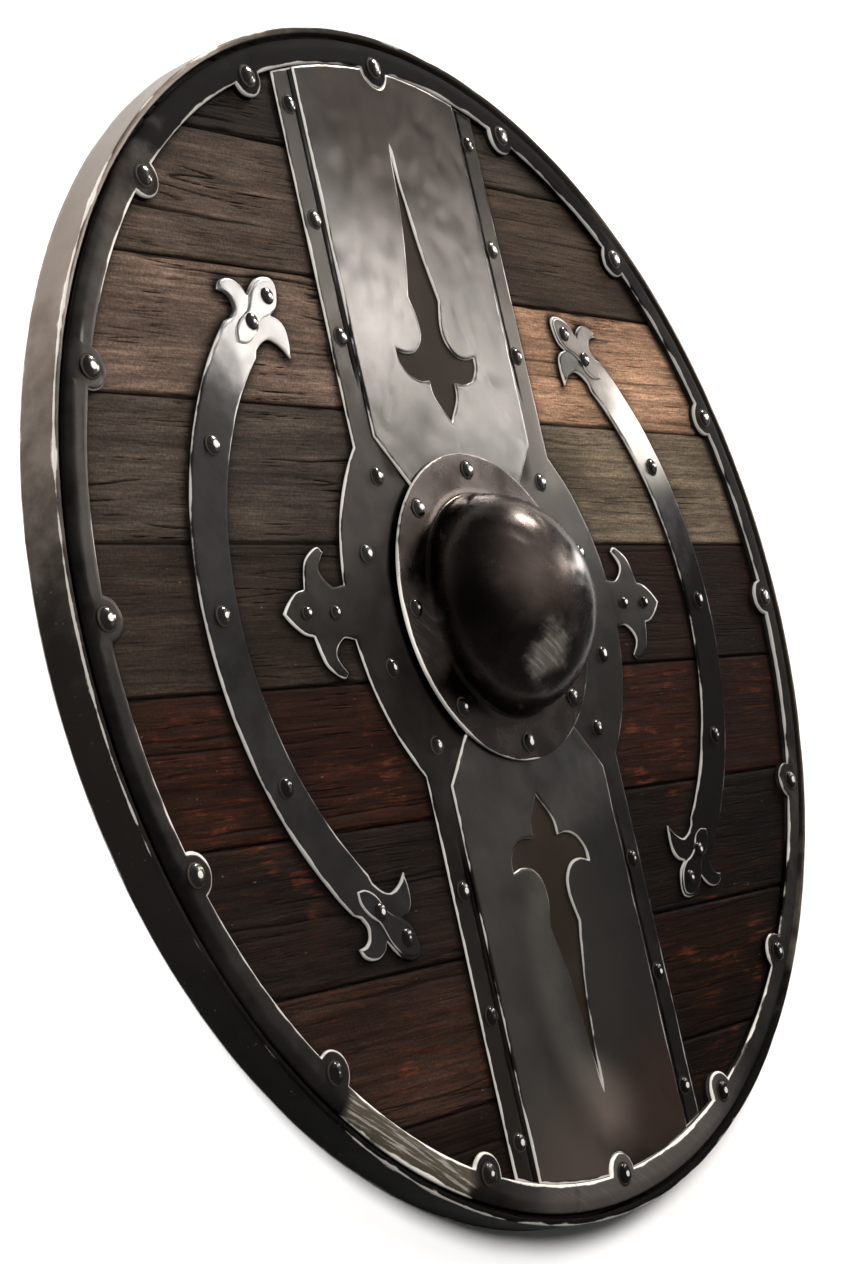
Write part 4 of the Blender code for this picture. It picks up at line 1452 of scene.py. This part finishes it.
    def raise_grain(self, plank: bpy.types.Object, low: float, high: float, index: int) -> None:
        """Weathers the plank's front, keeps the depth of cracks and ridges for its finish, and paints shade
        round the fittings.
        """
        places = places_of(plank)
        depth, crack, ridge = self.weather(places[:, 0], places[:, 1], low, high, index)
        front = places[:, 2] > 0.5 * (self.back + self.front)
        places[front, 2] -= depth[front]
        move_points(plank, places)
        set_attribute(plank, "crack", np.where(front, crack, 0.1))
        set_attribute(plank, "ridge", np.where(front, ridge, 0.5))
        # Painted shade beside the fittings, at the right ends of the calmer planks and under the rim.
        gap = distance_to(self.fittings, places[:, 0], places[:, 1])
        radius = np.hypot(places[:, 0], places[:, 1])
        (near, near_reach), (far, far_reach) = self.near_shade, self.far_shade
        grime = near * np.exp(-(gap / near_reach) ** 2) + far * np.exp(-gap / far_reach)
        if index >= self.calm_from:
            share, start, end = self.end_shade
            grime = np.maximum(grime, share * slope(places[:, 0], start, end))
        grime = np.maximum(grime, slope(radius, RIM_INNER_RADIUS, RIM_INNER_RADIUS + 2 * MM))
        set_attribute(plank, "grime", np.where(front, grime, 0.0))

    def weather(self, x: np.ndarray, y: np.ndarray, low: float, high: float,
                index: int) -> tuple[np.ndarray, np.ndarray, np.ndarray]:
        """How the weather has worn a plank's front.

        Args:
            x: Places along the grain.
            y: Places across the grain.
            low: The plank's lower side.
            high: The plank's upper side.
            index: Which plank.

        Returns:
            The depth in metres, and how much crack and ridge each place has, from 0 to 1.
        """
        seed = 101 * (index + 1)
        line = y + self.drift.sway(x, y, seed) + self.quiver.sway(x, y, seed)
        hollow = self.hollows.marks(x, line, seed)
        side = np.minimum(y - low, high - y) - self.chips.marks(x, 0 * x + index, seed)
        worn_side = np.exp(-(np.maximum(side, 0.0) / self.worn_side) ** 2)
        calmer, calm_at = self.right_calm
        harsh = (self.calm if index >= self.calm_from else 1.0) * (1 - calmer * slope(x, 0.0, calm_at))
        crack = harsh * self.cracked(x, y, line, (low, high), seed)
        ridges = self.coarse.sway(x, line, seed) + self.fine.sway(x, line, seed)
        height = 0.5 + ridges * (self.least_ridges + (1 - self.least_ridges) * harsh)
        depth = self.ridge_depth * (1 - np.clip(height, 0, 1)) + self.hollow_depth * hollow * harsh
        depth = depth + self.crack_depth * crack + self.worn_depth * worn_side
        depth = np.clip(depth, 0.0, self.deepest)
        dirt = np.maximum(self.crack_dirt * crack, self.side_dirt * worn_side)
        return depth, dirt, np.clip(height - self.hollow_tone * hollow, 0, 1)

    def cracked(self, x: np.ndarray, y: np.ndarray, line: np.ndarray, sides: tuple[float, float],
                seed: int) -> np.ndarray:
        """How much crack each place of a plank has, from 0 to 1.

        Args:
            x: Places along the grain.
            y: Places across the grain.
            line: Places across it, where the grain's wandering is taken up.
            sides: The plank's lower and upper side.
            seed: Which cracks.

        Returns:
            The share of crack at each place.
        """
        rng = random.Random(seed)
        crack = self.splits.lines(x, line, seed) * self.split_places.marks(x, y, seed)
        check = self.checks.lines(x, line, seed) * self.check_places.marks(x, y, seed)
        crack = np.maximum(crack, check)
        for _ in range(self.cracks):
            across = rng.uniform(sides[0] + self.crack_margin, sides[1] - self.crack_margin)
            middle = rng.uniform(-self.crack_middle, self.crack_middle)
            half = rng.uniform(*self.crack_half)
            width = rng.uniform(*self.crack_width)
            ends = np.clip(1 - ((x - middle) / half) ** 2, 0.0, 1.0)
            gap = line - across - self.wander.sway(x, 0 * x + across, seed)
            half_width = width * (self.crack_end + ends)
            crack = np.maximum(crack, np.exp(-(gap / half_width) ** 2) * np.sqrt(ends))
        return crack


@dataclass
class Band(SubAssembly):
    """The band plate with its disc, side fleurs and rivets.

    Attributes:
        width: Width of the band.
        fleur_reach: How far a side fleur stands out from the disc.
        fleur: Its outline's upper half, as shares of that: out from the disc, and up.
        strip_width: Width of the strip beside the panels.
        strip_rivets: Number of rivets in each strip.
        rivet_margin: Gap from a strip's ends to its rivets.
        rivet_radius: Radius of the rivets.
        fleur_rivet_radius: Radius of the side fleurs' rivets.
        line_place: Distance of the engraved lines from the middle.
        line_half: Half of their width.
        line_depth: Their depth.
        disc_rivet_angles: Angles of the disc's rivets, in degrees up and down from the side fleurs.
        fleur_rivets: Places of a side fleur's rivets, as shares of its reach.
        hammer: Slight hammer marks.
        hidden: Shares of half its width between which the painted shade under the panels starts.
        hidden_from: Distances from the middle between which that shade starts.
        recess_shade: Share of that painted shade, which darkens the band where the panels' openings show it.
    """

    width: float = 214 * MM
    fleur_reach: float = 61 * MM
    strip_width: float = 21 * MM
    strip_rivets: int = 3
    rivet_margin: float = 23.5 * MM
    rivet_radius: float = 6.5 * MM
    fleur_rivet_radius: float = 4.6 * MM
    line_place: float = 90.2 * MM
    line_half: float = 0.9 * MM
    line_depth: float = 0.7 * MM
    disc_rivet_angles: tuple[float, ...] = (16.4, 42.5)
    fleur_rivets: tuple[float, ...] = (0.22, 0.66)
    hammer: Swells = Swells(30 * MM, 45 * MM, 201, 0.25 * MM, -0.2, 1.0, layers=3)
    hidden: tuple[float, float] = (0.78, 0.70)
    hidden_from: tuple[float, float] = (80 * MM, 90 * MM)
    recess_shade: float = 0.8
    fleur: tuple[tuple[Point, ...], ...] = (
        ((0.00, 0.27), (0.11, 0.25), (0.18, 0.26), (0.28, 0.33), (0.33, 0.41), (0.30, 0.49), (0.21, 0.59)),
        ((0.21, 0.59), (0.28, 0.64), (0.39, 0.60), (0.51, 0.51), (0.57, 0.38), (0.61, 0.23)),
        ((0.61, 0.23), (0.75, 0.20), (0.90, 0.10), (1.00, 0.00)),
    )

    def outline(self) -> list[Point]:
        """The band plate's outline."""
        half = self.width / 2
        meet = math.acos(half / DISC_RADIUS)
        fleur = [(DISC_RADIUS + x, y) for x, y in ornament(self.fleur, self.fleur_reach)]
        neck = math.asin(fleur[0][1] / DISC_RADIUS)
        upper = fleur[1:-1]
        right = [*arc(DISC_RADIUS, -meet, -neck, 24)]
        right += [(x, -y) for x, y in upper] + [fleur[-1]] + upper[::-1]
        right += [*arc(DISC_RADIUS, neck, meet, 24)]
        top = inside_rim(half)
        left = [(-x, -y) for x, y in right]
        bottom = [(-x, -y) for x, y in top]
        return right + top + left + bottom

    def relief(self, x: np.ndarray, y: np.ndarray) -> np.ndarray:
        """Slight hammer marks in the band, and the line engraved beside each panel."""
        line = np.abs(np.abs(x) - self.line_place) < 0.3 * self.line_half
        return -self.hammer.marks(x, y) - self.line_depth * line * (np.abs(y) > DISC_RADIUS)

    def rivet_places(self) -> list[Point]:
        """The places of the rivets on the band, its disc and its side fleurs."""
        strip = (self.width - self.strip_width) / 2
        last = math.sqrt(RIM_INNER_RADIUS ** 2 - strip ** 2) - self.rivet_margin
        first = DISC_RADIUS + self.rivet_margin
        gap = (last - first) / (self.strip_rivets - 1)
        ring = (FLANGE_RADIUS + DISC_RADIUS) / 2
        right = [(strip, first + gap * k) for k in range(self.strip_rivets)]
        right += [on_circle(ring, math.radians(angle)) for angle in self.disc_rivet_angles]
        places = []
        for side in (-1, 1):
            places += [(side * (DISC_RADIUS + s * self.fleur_reach), 0.0) for s in self.fleur_rivets]
            for end in (-1, 1):
                places += [(side * x, end * y) for x, y in right]
        return places

    def build(self) -> None:
        """Builds the plate, and the rivet heads that stand on it."""
        low = level("band_plate")[0]
        high = level("panel_upper")[0] - CLEARANCE
        hole = circle(HAND_HOLE_RADIUS, 72)
        scores = [side * (self.line_place + k * self.line_half) for side in (-1, 1) for k in (-1, 0, 1)]
        sheet = Sheet("band_plate", (self.outline(), hole), low, high, ease=0.9 * MM, worn_band=1.7 * MM,
                      rule=9 * MM, relief=self.relief, scores=scores)
        plate = sheet.make()
        spots = places_of(plate)
        # Painted shade under the panels, seen in their openings.
        under = slope(np.abs(spots[:, 0]) / (self.width / 2), *self.hidden)
        under = under * slope(np.abs(spots[:, 1]), *self.hidden_from)
        set_attribute(plate, "grime", self.recess_shade * under)
        self.keep(plate, Slot.DARK_STEEL, BAND_STEEL.mix_up(), "band_plate")
        finish = RIVET_STEEL.mix_up()
        for group, radius in (("band", self.rivet_radius), ("fleur", self.fleur_rivet_radius)):
            places = [(x, y, high) for x, y in self.rivet_places() if (y == 0.0) == (group == "fleur")]
            names = [f"{group}_rivet_{k + 1:02d}" for k in range(len(places))]
            self.add_rivets(Rivet(radius, seed=8), names, places, finish, False)


@dataclass
class Panels(SubAssembly):
    """The two raised panels, each with a fleur-de-lis cut through it.

    Attributes:
        width: Width of a panel.
        shoulder: Where it starts to narrow towards the boss.
        neck_width: Width of its end under the boss.
        inner_radius: Radius of that end.
        fall: How far its sides fall from the ridge down its middle.
        cut_start: Where the opening starts.
        cut_length: Length of the opening.
        cut: The opening's outline, as shares of its length: half width, and out from the boss.
        hammer: Hammer marks.
    """

    width: float = 172 * MM
    shoulder: float = 108 * MM
    neck_width: float = 80 * MM
    inner_radius: float = 68 * MM
    fall: float = 0.8 * MM
    cut_start: float = 120 * MM
    cut_length: float = 185 * MM
    hammer: Swells = Swells(24 * MM, 34 * MM, 301, 0.5 * MM, -0.3, 1.0, layers=3)
    cut: tuple[tuple[Point, ...], ...] = (
        ((0.000, 0.000), (0.065, 0.086), (0.076, 0.146)),
        ((0.076, 0.146), (0.130, 0.143), (0.190, 0.162), (0.227, 0.205), (0.232, 0.246)),
        ((0.232, 0.246), (0.178, 0.235), (0.119, 0.246), (0.073, 0.292), (0.065, 0.357), (0.089, 0.443)),
        ((0.089, 0.443), (0.043, 0.632), (0.016, 0.827), (0.000, 1.000)),
    )

    def outlines(self) -> tuple[list[Point], list[Point]]:
        """The upper panel's outline and its opening."""
        half, neck_half = self.width / 2, self.neck_width / 2
        neck = math.acos(neck_half / self.inner_radius)
        inner = arc(self.inner_radius, math.pi - neck, neck, 24)
        outer = [(half, self.shoulder), *inside_rim(half), (-half, self.shoulder)]
        cut = [(x, self.cut_start + y) for x, y in ornament(self.cut, self.cut_length)]
        return outer + inner, cut + mirrored(cut[1:-1], flip_x=True)

    def relief(self, x: np.ndarray, y: np.ndarray) -> np.ndarray:
        """Hammer marks, on sides that fall away from a ridge down the middle."""
        return -self.hammer.marks(x, y) - self.fall * np.abs(x) / (self.width / 2)

    def build(self) -> None:
        """Builds the two panels. The lower outline is the upper one mirrored."""
        finish = PANEL_STEEL.mix_up()
        for name, flip in (("panel_upper", False), ("panel_lower", True)):
            outlines = [mirrored(o, flip_y=True) if flip else o for o in self.outlines()]
            low, high = level(name)
            sheet = Sheet(name, outlines, low, high, ease=1.0 * MM, worn_band=1.6 * MM, rule=5 * MM,
                          relief=self.relief)
            self.keep(sheet.make(), Slot.WORN_STEEL, finish, name)


@dataclass
class Boss(SubAssembly):
    """The domed boss with its flange and rivets.

    Attributes:
        dome_radius: Radius of the dome at its foot.
        sheet: Thickness of the sheet.
        fillet: Radius of the bend between dome and flange.
        lip: Width of the flange's eased edge.
        rivet_count: Number of rivets round the flange.
        rivet_ring: Radius of the ring of rivets.
        rivet_radius: Radius of a rivet.
        steps: Number of flats round it.
        crease: Edges sharper than this many degrees stay sharp.
        last_ring: Gap from the flange's edge to its last ring of points.
        dome_start: Depths inside the dome's foot between which its dents start.
        worn_band: How far in from its edge the flange is worn.
        hammer: Hammer marks in the dome.
        flange_hammer: Hammer marks in the flange.
        dents: Place, radius and depth of each dent in the dome.
    """

    dome_radius: float = 71 * MM
    sheet: float = 2 * MM
    fillet: float = 2.5 * MM
    lip: float = 0.7 * MM
    rivet_count: int = 8
    rivet_ring: float = 88 * MM
    rivet_radius: float = 6.5 * MM
    steps: int = 160
    crease: float = 50.0
    last_ring: float = 1.6 * MM
    dome_start: tuple[float, float] = (-4 * MM, 6 * MM)
    worn_band: float = 2.0 * MM
    hammer: Swells = Swells(22 * MM, 22 * MM, 401, 0.5 * MM, -0.3, 1.0, layers=3)
    flange_hammer: Swells = Swells(30 * MM, 30 * MM, 409, 0.3 * MM)
    dents: tuple[tuple[tuple[float, float, float], float, float], ...] = (
        ((-0.0226, -0.0392, 0.0728), 17 * MM, 1.1 * MM),
        ((-0.0590, 0.0041, 0.0602), 2.6 * MM, 1.0 * MM),
        ((-0.0300, 0.0200, 0.0780), 24 * MM, 0.8 * MM),
    )

    def profile(self) -> list[Point]:
        """The boss in section: down the dome and out along the flange, then back inside."""
        low, high = level("boss")
        front = low + self.sheet
        height = high - front
        flange = FLANGE_RADIUS
        dome = [(self.dome_radius * math.sin(a), front + height * math.cos(a))
                for a in (math.radians(2.5 * k) for k in range(35))]
        dome[0] = (0.0, high)
        bend = [(self.dome_radius + self.fillet * (1 - math.cos(a)), front + self.fillet * (1 - math.sin(a)))
                for a in (math.radians(30 * k) for k in range(4))]
        rings = [(self.dome_radius + self.fillet + (flange - self.dome_radius - self.fillet) * k / 6, front)
                 for k in range(1, 6)]
        corner = CORNER * self.lip
        edge = [(flange - self.last_ring, front), (flange - self.lip, front),
                (flange - corner, front - corner), (flange, front - self.lip), (flange, low)]
        inside_radius = self.dome_radius - self.sheet
        inside = [(inside_radius * math.sin(a), low + height * math.cos(a))
                  for a in (math.radians(5 * k) for k in range(18, -1, -1))]
        inside[-1] = (0.0, inside[-1][1])
        return dome + bend + rings + edge + inside

    def build(self) -> None:
        """Builds the boss with its dents, and the rivets round it."""
        low = level("boss")[0]
        boss = turned("boss", self.profile(), self.steps)
        places = places_of(boss)
        radius = np.hypot(places[:, 0], places[:, 1])
        near = np.abs(radius - FLANGE_RADIUS)
        set_attribute(boss, "edge", 1.0 - near / self.worn_band)
        outward = np.column_stack([places[:, 0], places[:, 1], places[:, 2] - low])
        outward /= np.maximum(np.linalg.norm(outward, axis=1, keepdims=True), TINY)
        domed = slope(self.dome_radius - radius, *self.dome_start)
        push = self.hammer.marks(places[:, 0], places[:, 1])
        for place, width, depth in self.dents:
            gap = np.linalg.norm(places - np.array(place), axis=1)
            push = push + depth * np.exp(-(gap / width) ** 2)
        places -= outward * (push * domed)[:, None]
        flange = (1 - domed) * (places[:, 2] > low + 0.5 * self.sheet)
        places[:, 2] -= flange * self.flange_hammer.marks(places[:, 0], places[:, 1])
        move_points(boss, places)
        smooth(boss, self.crease)
        self.keep(boss, Slot.DARK_STEEL, BOSS_STEEL.mix_up(), "boss")
        base = level("boss_rivet_1")[0]
        angles = [math.pi / 2 - 2 * math.pi * k / self.rivet_count for k in range(self.rivet_count)]
        places = [(*on_circle(self.rivet_ring, a), base) for a in angles]
        names = [f"boss_rivet_{k + 1}" for k in range(self.rivet_count)]
        self.add_rivets(Rivet(self.rivet_radius, seed=13), names, places, RIVET_STEEL.mix_up())


@dataclass
class Straps(SubAssembly):
    """The two curved straps, with a fleur-de-lis at each end.

    Attributes:
        centre: X of the right strap's arc.
        radius: Radius of its middle line.
        width: Its width.
        sweep: Half of its angle, up to the ends of its middle line.
        shoulder: How far before that its sides end.
        fleur_length: Length of a fleur.
        fleur: Its outline, as shares of that: away from the boss, and along the strap.
        raised: Outline of its raised middle petal, which ends where it starts.
        petal_rise: How far that petal stands up.
        rivet_angles: Angles of the rivets between the fleurs.
        fleur_rivets: Places of a fleur's rivets, as shares of its length.
        rivet_radius: Radius of a rivet.
        hammer: Slight hammer marks.
    """

    centre: float = 36 * MM
    radius: float = 226 * MM
    width: float = 30 * MM
    sweep: float = math.radians(48.6)
    shoulder: float = 11.5 * MM
    fleur_length: float = 46 * MM
    rivet_angles: tuple[float, ...] = (25.5, 0.0)
    fleur_rivets: tuple[float, ...] = (0.68, 0.12)
    rivet_radius: float = 6.5 * MM
    petal_rise: float = 0.9 * MM
    hammer: Swells = Swells(20 * MM, 28 * MM, 501, 0.3 * MM, -0.2, 1.0, layers=3)
    raised: tuple[tuple[Point, ...], ...] = (
        ((0.02, -0.34), (0.13, -0.22), (0.16, -0.02), (0.13, 0.20), (0.20, 0.40), (0.24, 0.58),
         (0.21, 0.75), (0.12, 0.90), (0.01, 0.96), (-0.09, 0.88), (-0.18, 0.72), (-0.18, 0.52),
         (-0.12, 0.36), (-0.10, 0.20), (-0.15, -0.02), (-0.10, -0.22), (0.02, -0.34)),
    )
    fleur: tuple[tuple[Point, ...], ...] = (
        ((0.27, -0.13), (0.30, 0.02), (0.41, 0.09), (0.53, 0.07), (0.64, -0.01)),
        ((0.64, -0.01), (0.68, 0.11), (0.63, 0.25), (0.52, 0.36), (0.37, 0.41), (0.24, 0.39)),
        ((0.24, 0.39), (0.27, 0.59), (0.25, 0.76), (0.15, 0.93), (0.02, 1.00), (-0.11, 0.91),
         (-0.21, 0.72), (-0.20, 0.53)),
        ((-0.20, 0.53), (-0.33, 0.61), (-0.48, 0.61), (-0.63, 0.50), (-0.77, 0.34)),
        ((-0.77, 0.34), (-0.60, 0.33), (-0.46, 0.28), (-0.35, 0.20), (-0.29, 0.04), (-0.28, -0.13)),
    )

    def point(self, out: float, along: float) -> Point:
        """A place on the right strap near its upper end, from the end of its middle line."""
        x, y = on_circle(self.radius + out, self.sweep, (self.centre, 0.0))
        return x - along * math.sin(self.sweep), y + along * math.cos(self.sweep)

    def outline(self) -> list[Point]:
        """The right strap's outline."""
        centre = (self.centre, 0.0)
        end = self.sweep - self.shoulder / self.radius
        outer = arc(self.radius + self.width / 2, -end, end, 64, centre)
        inner = arc(self.radius - self.width / 2, end, -end, 64, centre)
        fleur = [self.point(out, along) for out, along in ornament(self.fleur, self.fleur_length)]
        return outer + fleur + inner + mirrored(fleur, flip_y=True)

    def petal(self) -> list[Point]:
        """Outline of the raised middle petal at the right strap's upper end, down to its root."""
        points = ornament(self.raised, self.fleur_length)
        return [self.point(out, along) for out, along in points[:-1]]

    def rivet_places(self) -> list[Point]:
        """The places of the right strap's rivets, from the top down."""
        places = [self.point(0.0, share * self.fleur_length) for share in self.fleur_rivets]
        places += [on_circle(self.radius, math.radians(a), (self.centre, 0.0)) for a in self.rivet_angles]
        return places + [(x, -y) for x, y in places[:-1][::-1]]

    def relief(self, x: np.ndarray, y: np.ndarray) -> np.ndarray:
        """Slight hammer marks in the straps."""
        return -self.hammer.marks(x, y)

    def build(self) -> None:
        """Builds the two straps and their rivets. The left is the right one mirrored."""
        finish = STRAP_STEEL.mix_up()
        rivet_finish = RIVET_STEEL.mix_up()
        for side in Side:
            name = f"strap_{side.name.lower()}"
            flip = side is Side.LEFT
            outline = mirrored(self.outline(), flip_x=True) if flip else self.outline()
            low, high = level(name)
            sheet = Sheet(name, [outline], low, high, ease=1.1 * MM, worn_band=1.6 * MM, rule=6 * MM,
                          relief=self.relief)
            self.keep(sheet.make(), Slot.WORN_STEEL, finish, name)
            for number, end in ((1, 1), (2, -1)):
                petal = [(side.value * x, end * y) for x, y in self.petal()]
                raised = Sheet(f"{name}_petal_{number}", [petal], high - CLEARANCE, high + self.petal_rise,
                               ease=0.8 * MM, worn_band=1.2 * MM)
                self.keep(raised.make(), Slot.WORN_STEEL, finish)
            base = level(f"{name}_rivet_1")[0]
            places = [(side.value * x, y, base) for x, y in self.rivet_places()]
            names = [f"{name}_rivet_{k + 1}" for k in range(len(places))]
            self.add_rivets(Rivet(self.rivet_radius, seed=21 + side.value), names, places, rivet_finish)


@dataclass
class Grip(SubAssembly):
    """The batten across the back, with the round handle over the hand hole.

    Attributes:
        width: Width of the batten at the handle.
        end_width: Width of its ends.
        handle_width: Width of the handle.
        handle_reach: Half of the handle's length.
        handle_rise: Gap between the batten's back and the handle's.
        ease: Width of the batten's eased edges.
        handle_steps: Number of flats round the handle.
        crease: Edges sharper than this many degrees stay sharp.
        cap: An end of the handle, as shares of its half width and half length.
        waist: Mean half width of the handle between its ends, and how far it swells.
    """

    width: float = 36 * MM
    end_width: float = 26 * MM
    handle_width: float = 30 * MM
    handle_reach: float = 58 * MM
    handle_rise: float = 1.5 * MM
    ease: float = 2 * MM
    handle_steps: int = 40
    crease: float = 40.0
    cap: tuple[Point, ...] = ((0.0, 1.0), (0.8, 1.0), (0.92, 0.985), (0.97, 0.95))
    waist: tuple[float, float] = (0.93, 0.07)

    def build(self) -> None:
        """Builds the batten and the handle, and joins them."""
        low, high = level("grip")
        board_back = level("plank_1")[0]
        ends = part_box("grip")[1][1]
        right = [(self.end_width / 2, -ends), (self.width / 2, -HAND_HOLE_RADIUS),
                 (self.width / 2, HAND_HOLE_RADIUS), (self.end_width / 2, ends)]
        outline = right + mirrored(right, flip_x=True)
        batten = Sheet("grip", [outline], CLEARANCE - board_back, -low, ease=self.ease, worn_band=3 * MM,
                       rule=12 * MM).make()
        batten.data.transform(Matrix.Diagonal((1.0, 1.0, -1.0, 1.0)))
        batten.data.flip_normals()
        bottom = low + self.handle_rise
        half_height = (high - bottom) / 2
        mean, swell = self.waist
        waist = [(mean + swell * math.cos(2 * math.pi * k / 5), k / 5) for k in range(4, -5, -1)]
        profile = [*self.cap, *waist, *mirrored(self.cap, flip_y=True)]
        handle = turned("handle", profile, self.handle_steps)
        place = Matrix.Translation((0.0, 0.0, bottom + half_height))
        stretch = Matrix.Diagonal((self.handle_width / 2, self.handle_reach, half_height, 1.0))
        handle.data.transform(place @ stretch @ Matrix.Rotation(math.pi / 2, 4, "X"))
        union = batten.modifiers.new("handle", "BOOLEAN")
        union.operation = "UNION"
        union.solver = "EXACT"
        union.object = handle
        select_only(batten)
        bpy.ops.object.modifier_apply(modifier=union.name)
        bpy.data.objects.remove(handle, do_unlink=True)
        smooth(batten, self.crease)
        places = places_of(batten)
        set_attribute(batten, "crack", np.zeros(len(places)))
        set_attribute(batten, "ridge", np.full(len(places), 0.7))
        self.keep(batten, Slot.GRIP_WOOD, GRIP_FINISH.mix_up(), "grip")


# The studio

@dataclass(frozen=True)
class SoftLight:
    """A soft light that looks at the middle of the shield.

    Attributes:
        name: Its name.
        azimuth: Where it stands, in degrees from +X towards +Y.
        elevation: How high it stands, in degrees.
        distance: Its distance in metres.
        size: Its width and height in metres.
        power: Its power in watts.
        colour: Its colour.
        mirrored: Whether it shows in the steel.
        aim: What it looks at.
    """

    name: str
    azimuth: float
    elevation: float
    distance: float
    size: tuple[float, float]
    power: float
    colour: Colour = (1.0, 1.0, 1.0)
    mirrored: bool = True
    aim: tuple[float, float, float] = (0.0, 0.0, 0.05)

    def add(self) -> None:
        """Adds the light to the scene."""
        light = bpy.data.lights.new(self.name, "AREA")
        light.shape = "RECTANGLE"
        light.size, light.size_y = self.size
        light.energy = self.power
        light.color = self.colour
        lamp = bpy.data.objects.new(self.name, light)
        a, e = math.radians(self.azimuth), math.radians(self.elevation)
        away = Vector((math.cos(a) * math.cos(e), math.sin(a) * math.cos(e), math.sin(e)))
        lamp.location = Vector(self.aim) + self.distance * away
        lamp.rotation_euler = away.to_track_quat("Z", "Y").to_euler()
        lamp.visible_glossy = self.mirrored
        bpy.context.scene.collection.objects.link(lamp)


@dataclass
class Studio:
    """The camera of the photograph, the pale floor and the soft lights.

    Attributes:
        place: Where the camera is, in metres.
        aim: What it looks at.
        roll: Its turn about the line of sight, in degrees.
        lens: Focal length in millimetres.
        sensor: Long side of the picture in millimetres.
        clip: Nearest and furthest distance that it shows.
        floor_size: Width of the floor.
        floor_tones: The floor's two tones.
        sky: Brightness of the world.
        lights: The lights.
    """

    place: tuple[float, float, float] = (-1.324297, -0.199758, 0.890107)
    aim: tuple[float, float, float] = (-0.080883, -0.014303, 0.0255)
    roll: float = 72.59976
    lens: float = 72.5565
    sensor: float = 36.0
    clip: tuple[float, float] = (0.05, 100.0)
    floor_size: float = 16.0
    floor_tones: tuple[Colour, Colour] = ((0.86, 0.86, 0.86), (0.88, 0.88, 0.88))
    sky: float = 0.07
    lights: tuple[SoftLight, ...] = (
        SoftLight("key", 148.0, 52.0, 2.6, (1.1, 1.1), 105.0, (1.0, 0.98, 0.96), mirrored=False),
        SoftLight("fill", 20.0, 36.0, 2.4, (0.9, 0.9), 26.0, (1.0, 0.96, 0.91), mirrored=False),
        SoftLight("back_card", 8.0, 38.0, 3.2, (3.0, 1.6), 3.0, (1.0, 0.96, 0.92)),
        SoftLight("panel_light", 21.0, 34.0, 2.4, (0.22, 0.6), 3.9, (1.0, 0.96, 0.92)),
        SoftLight("dome_light", 48.6, 19.5, 2.2, (0.34, 0.34), 19.0, (1.0, 0.97, 0.92)),
        SoftLight("crescent_card", 14.0, 12.0, 2.2, (0.2, 0.9), 5.0, (1.0, 0.98, 0.96)),
    )

    def build(self) -> None:
        """Builds the studio."""
        self.add_camera()
        self.add_floor()
        world = bpy.data.worlds.new("studio")
        world.use_nodes = True
        world.node_tree.nodes["Background"].inputs["Color"].default_value = (1.0, 1.0, 1.0, 1.0)
        world.node_tree.nodes["Background"].inputs["Strength"].default_value = self.sky
        bpy.context.scene.world = world
        bpy.context.scene.view_settings.view_transform = "Standard"
        for light in self.lights:
            light.add()

    def add_camera(self) -> None:
        """Adds the camera at the photograph's viewing angle."""
        data = bpy.data.cameras.new("photo_camera")
        data.lens = self.lens
        data.sensor_width = self.sensor
        data.clip_start, data.clip_end = self.clip
        camera = bpy.data.objects.new("photo_camera", data)
        sight = Vector(self.aim) - Vector(self.place)
        level_turn = sight.to_track_quat("-Z", "Y")
        camera.location = self.place
        camera.rotation_euler = (level_turn @ Quaternion((0, 0, 1), math.radians(self.roll))).to_euler()
        bpy.context.scene.collection.objects.link(camera)
        bpy.context.scene.camera = camera

    def add_floor(self) -> None:
        """Adds the plain pale floor."""
        bpy.ops.object.select_all(action="DESELECT")
        bpy.ops.mesh.primitive_plane_add(size=self.floor_size, location=(0.0, 0.0, -0.2 * MM))
        floor = bpy.context.active_object
        floor.name = "floor"
        paper = Recipe("pale_floor")
        tone = paper.mix(paper.noise(even(2.0)), *self.floor_tones)
        material = paper.dress({"Base Color": tone, "Roughness": 0.9, "Specular IOR Level": 0.2})
        floor.data.materials.append(material)


def main() -> None:
    """Builds the studio and every sub-assembly in order."""
    logging.basicConfig(level=logging.INFO, format="%(message)s")
    Studio().build()
    for part in (Edge(), Board(), Band(), Panels(), Boss(), Straps(), Grip()):
        part.build()
        LOG.info("%s: %d pieces", type(part).__name__, len(part.made))


if __name__ == "__main__":
    main()
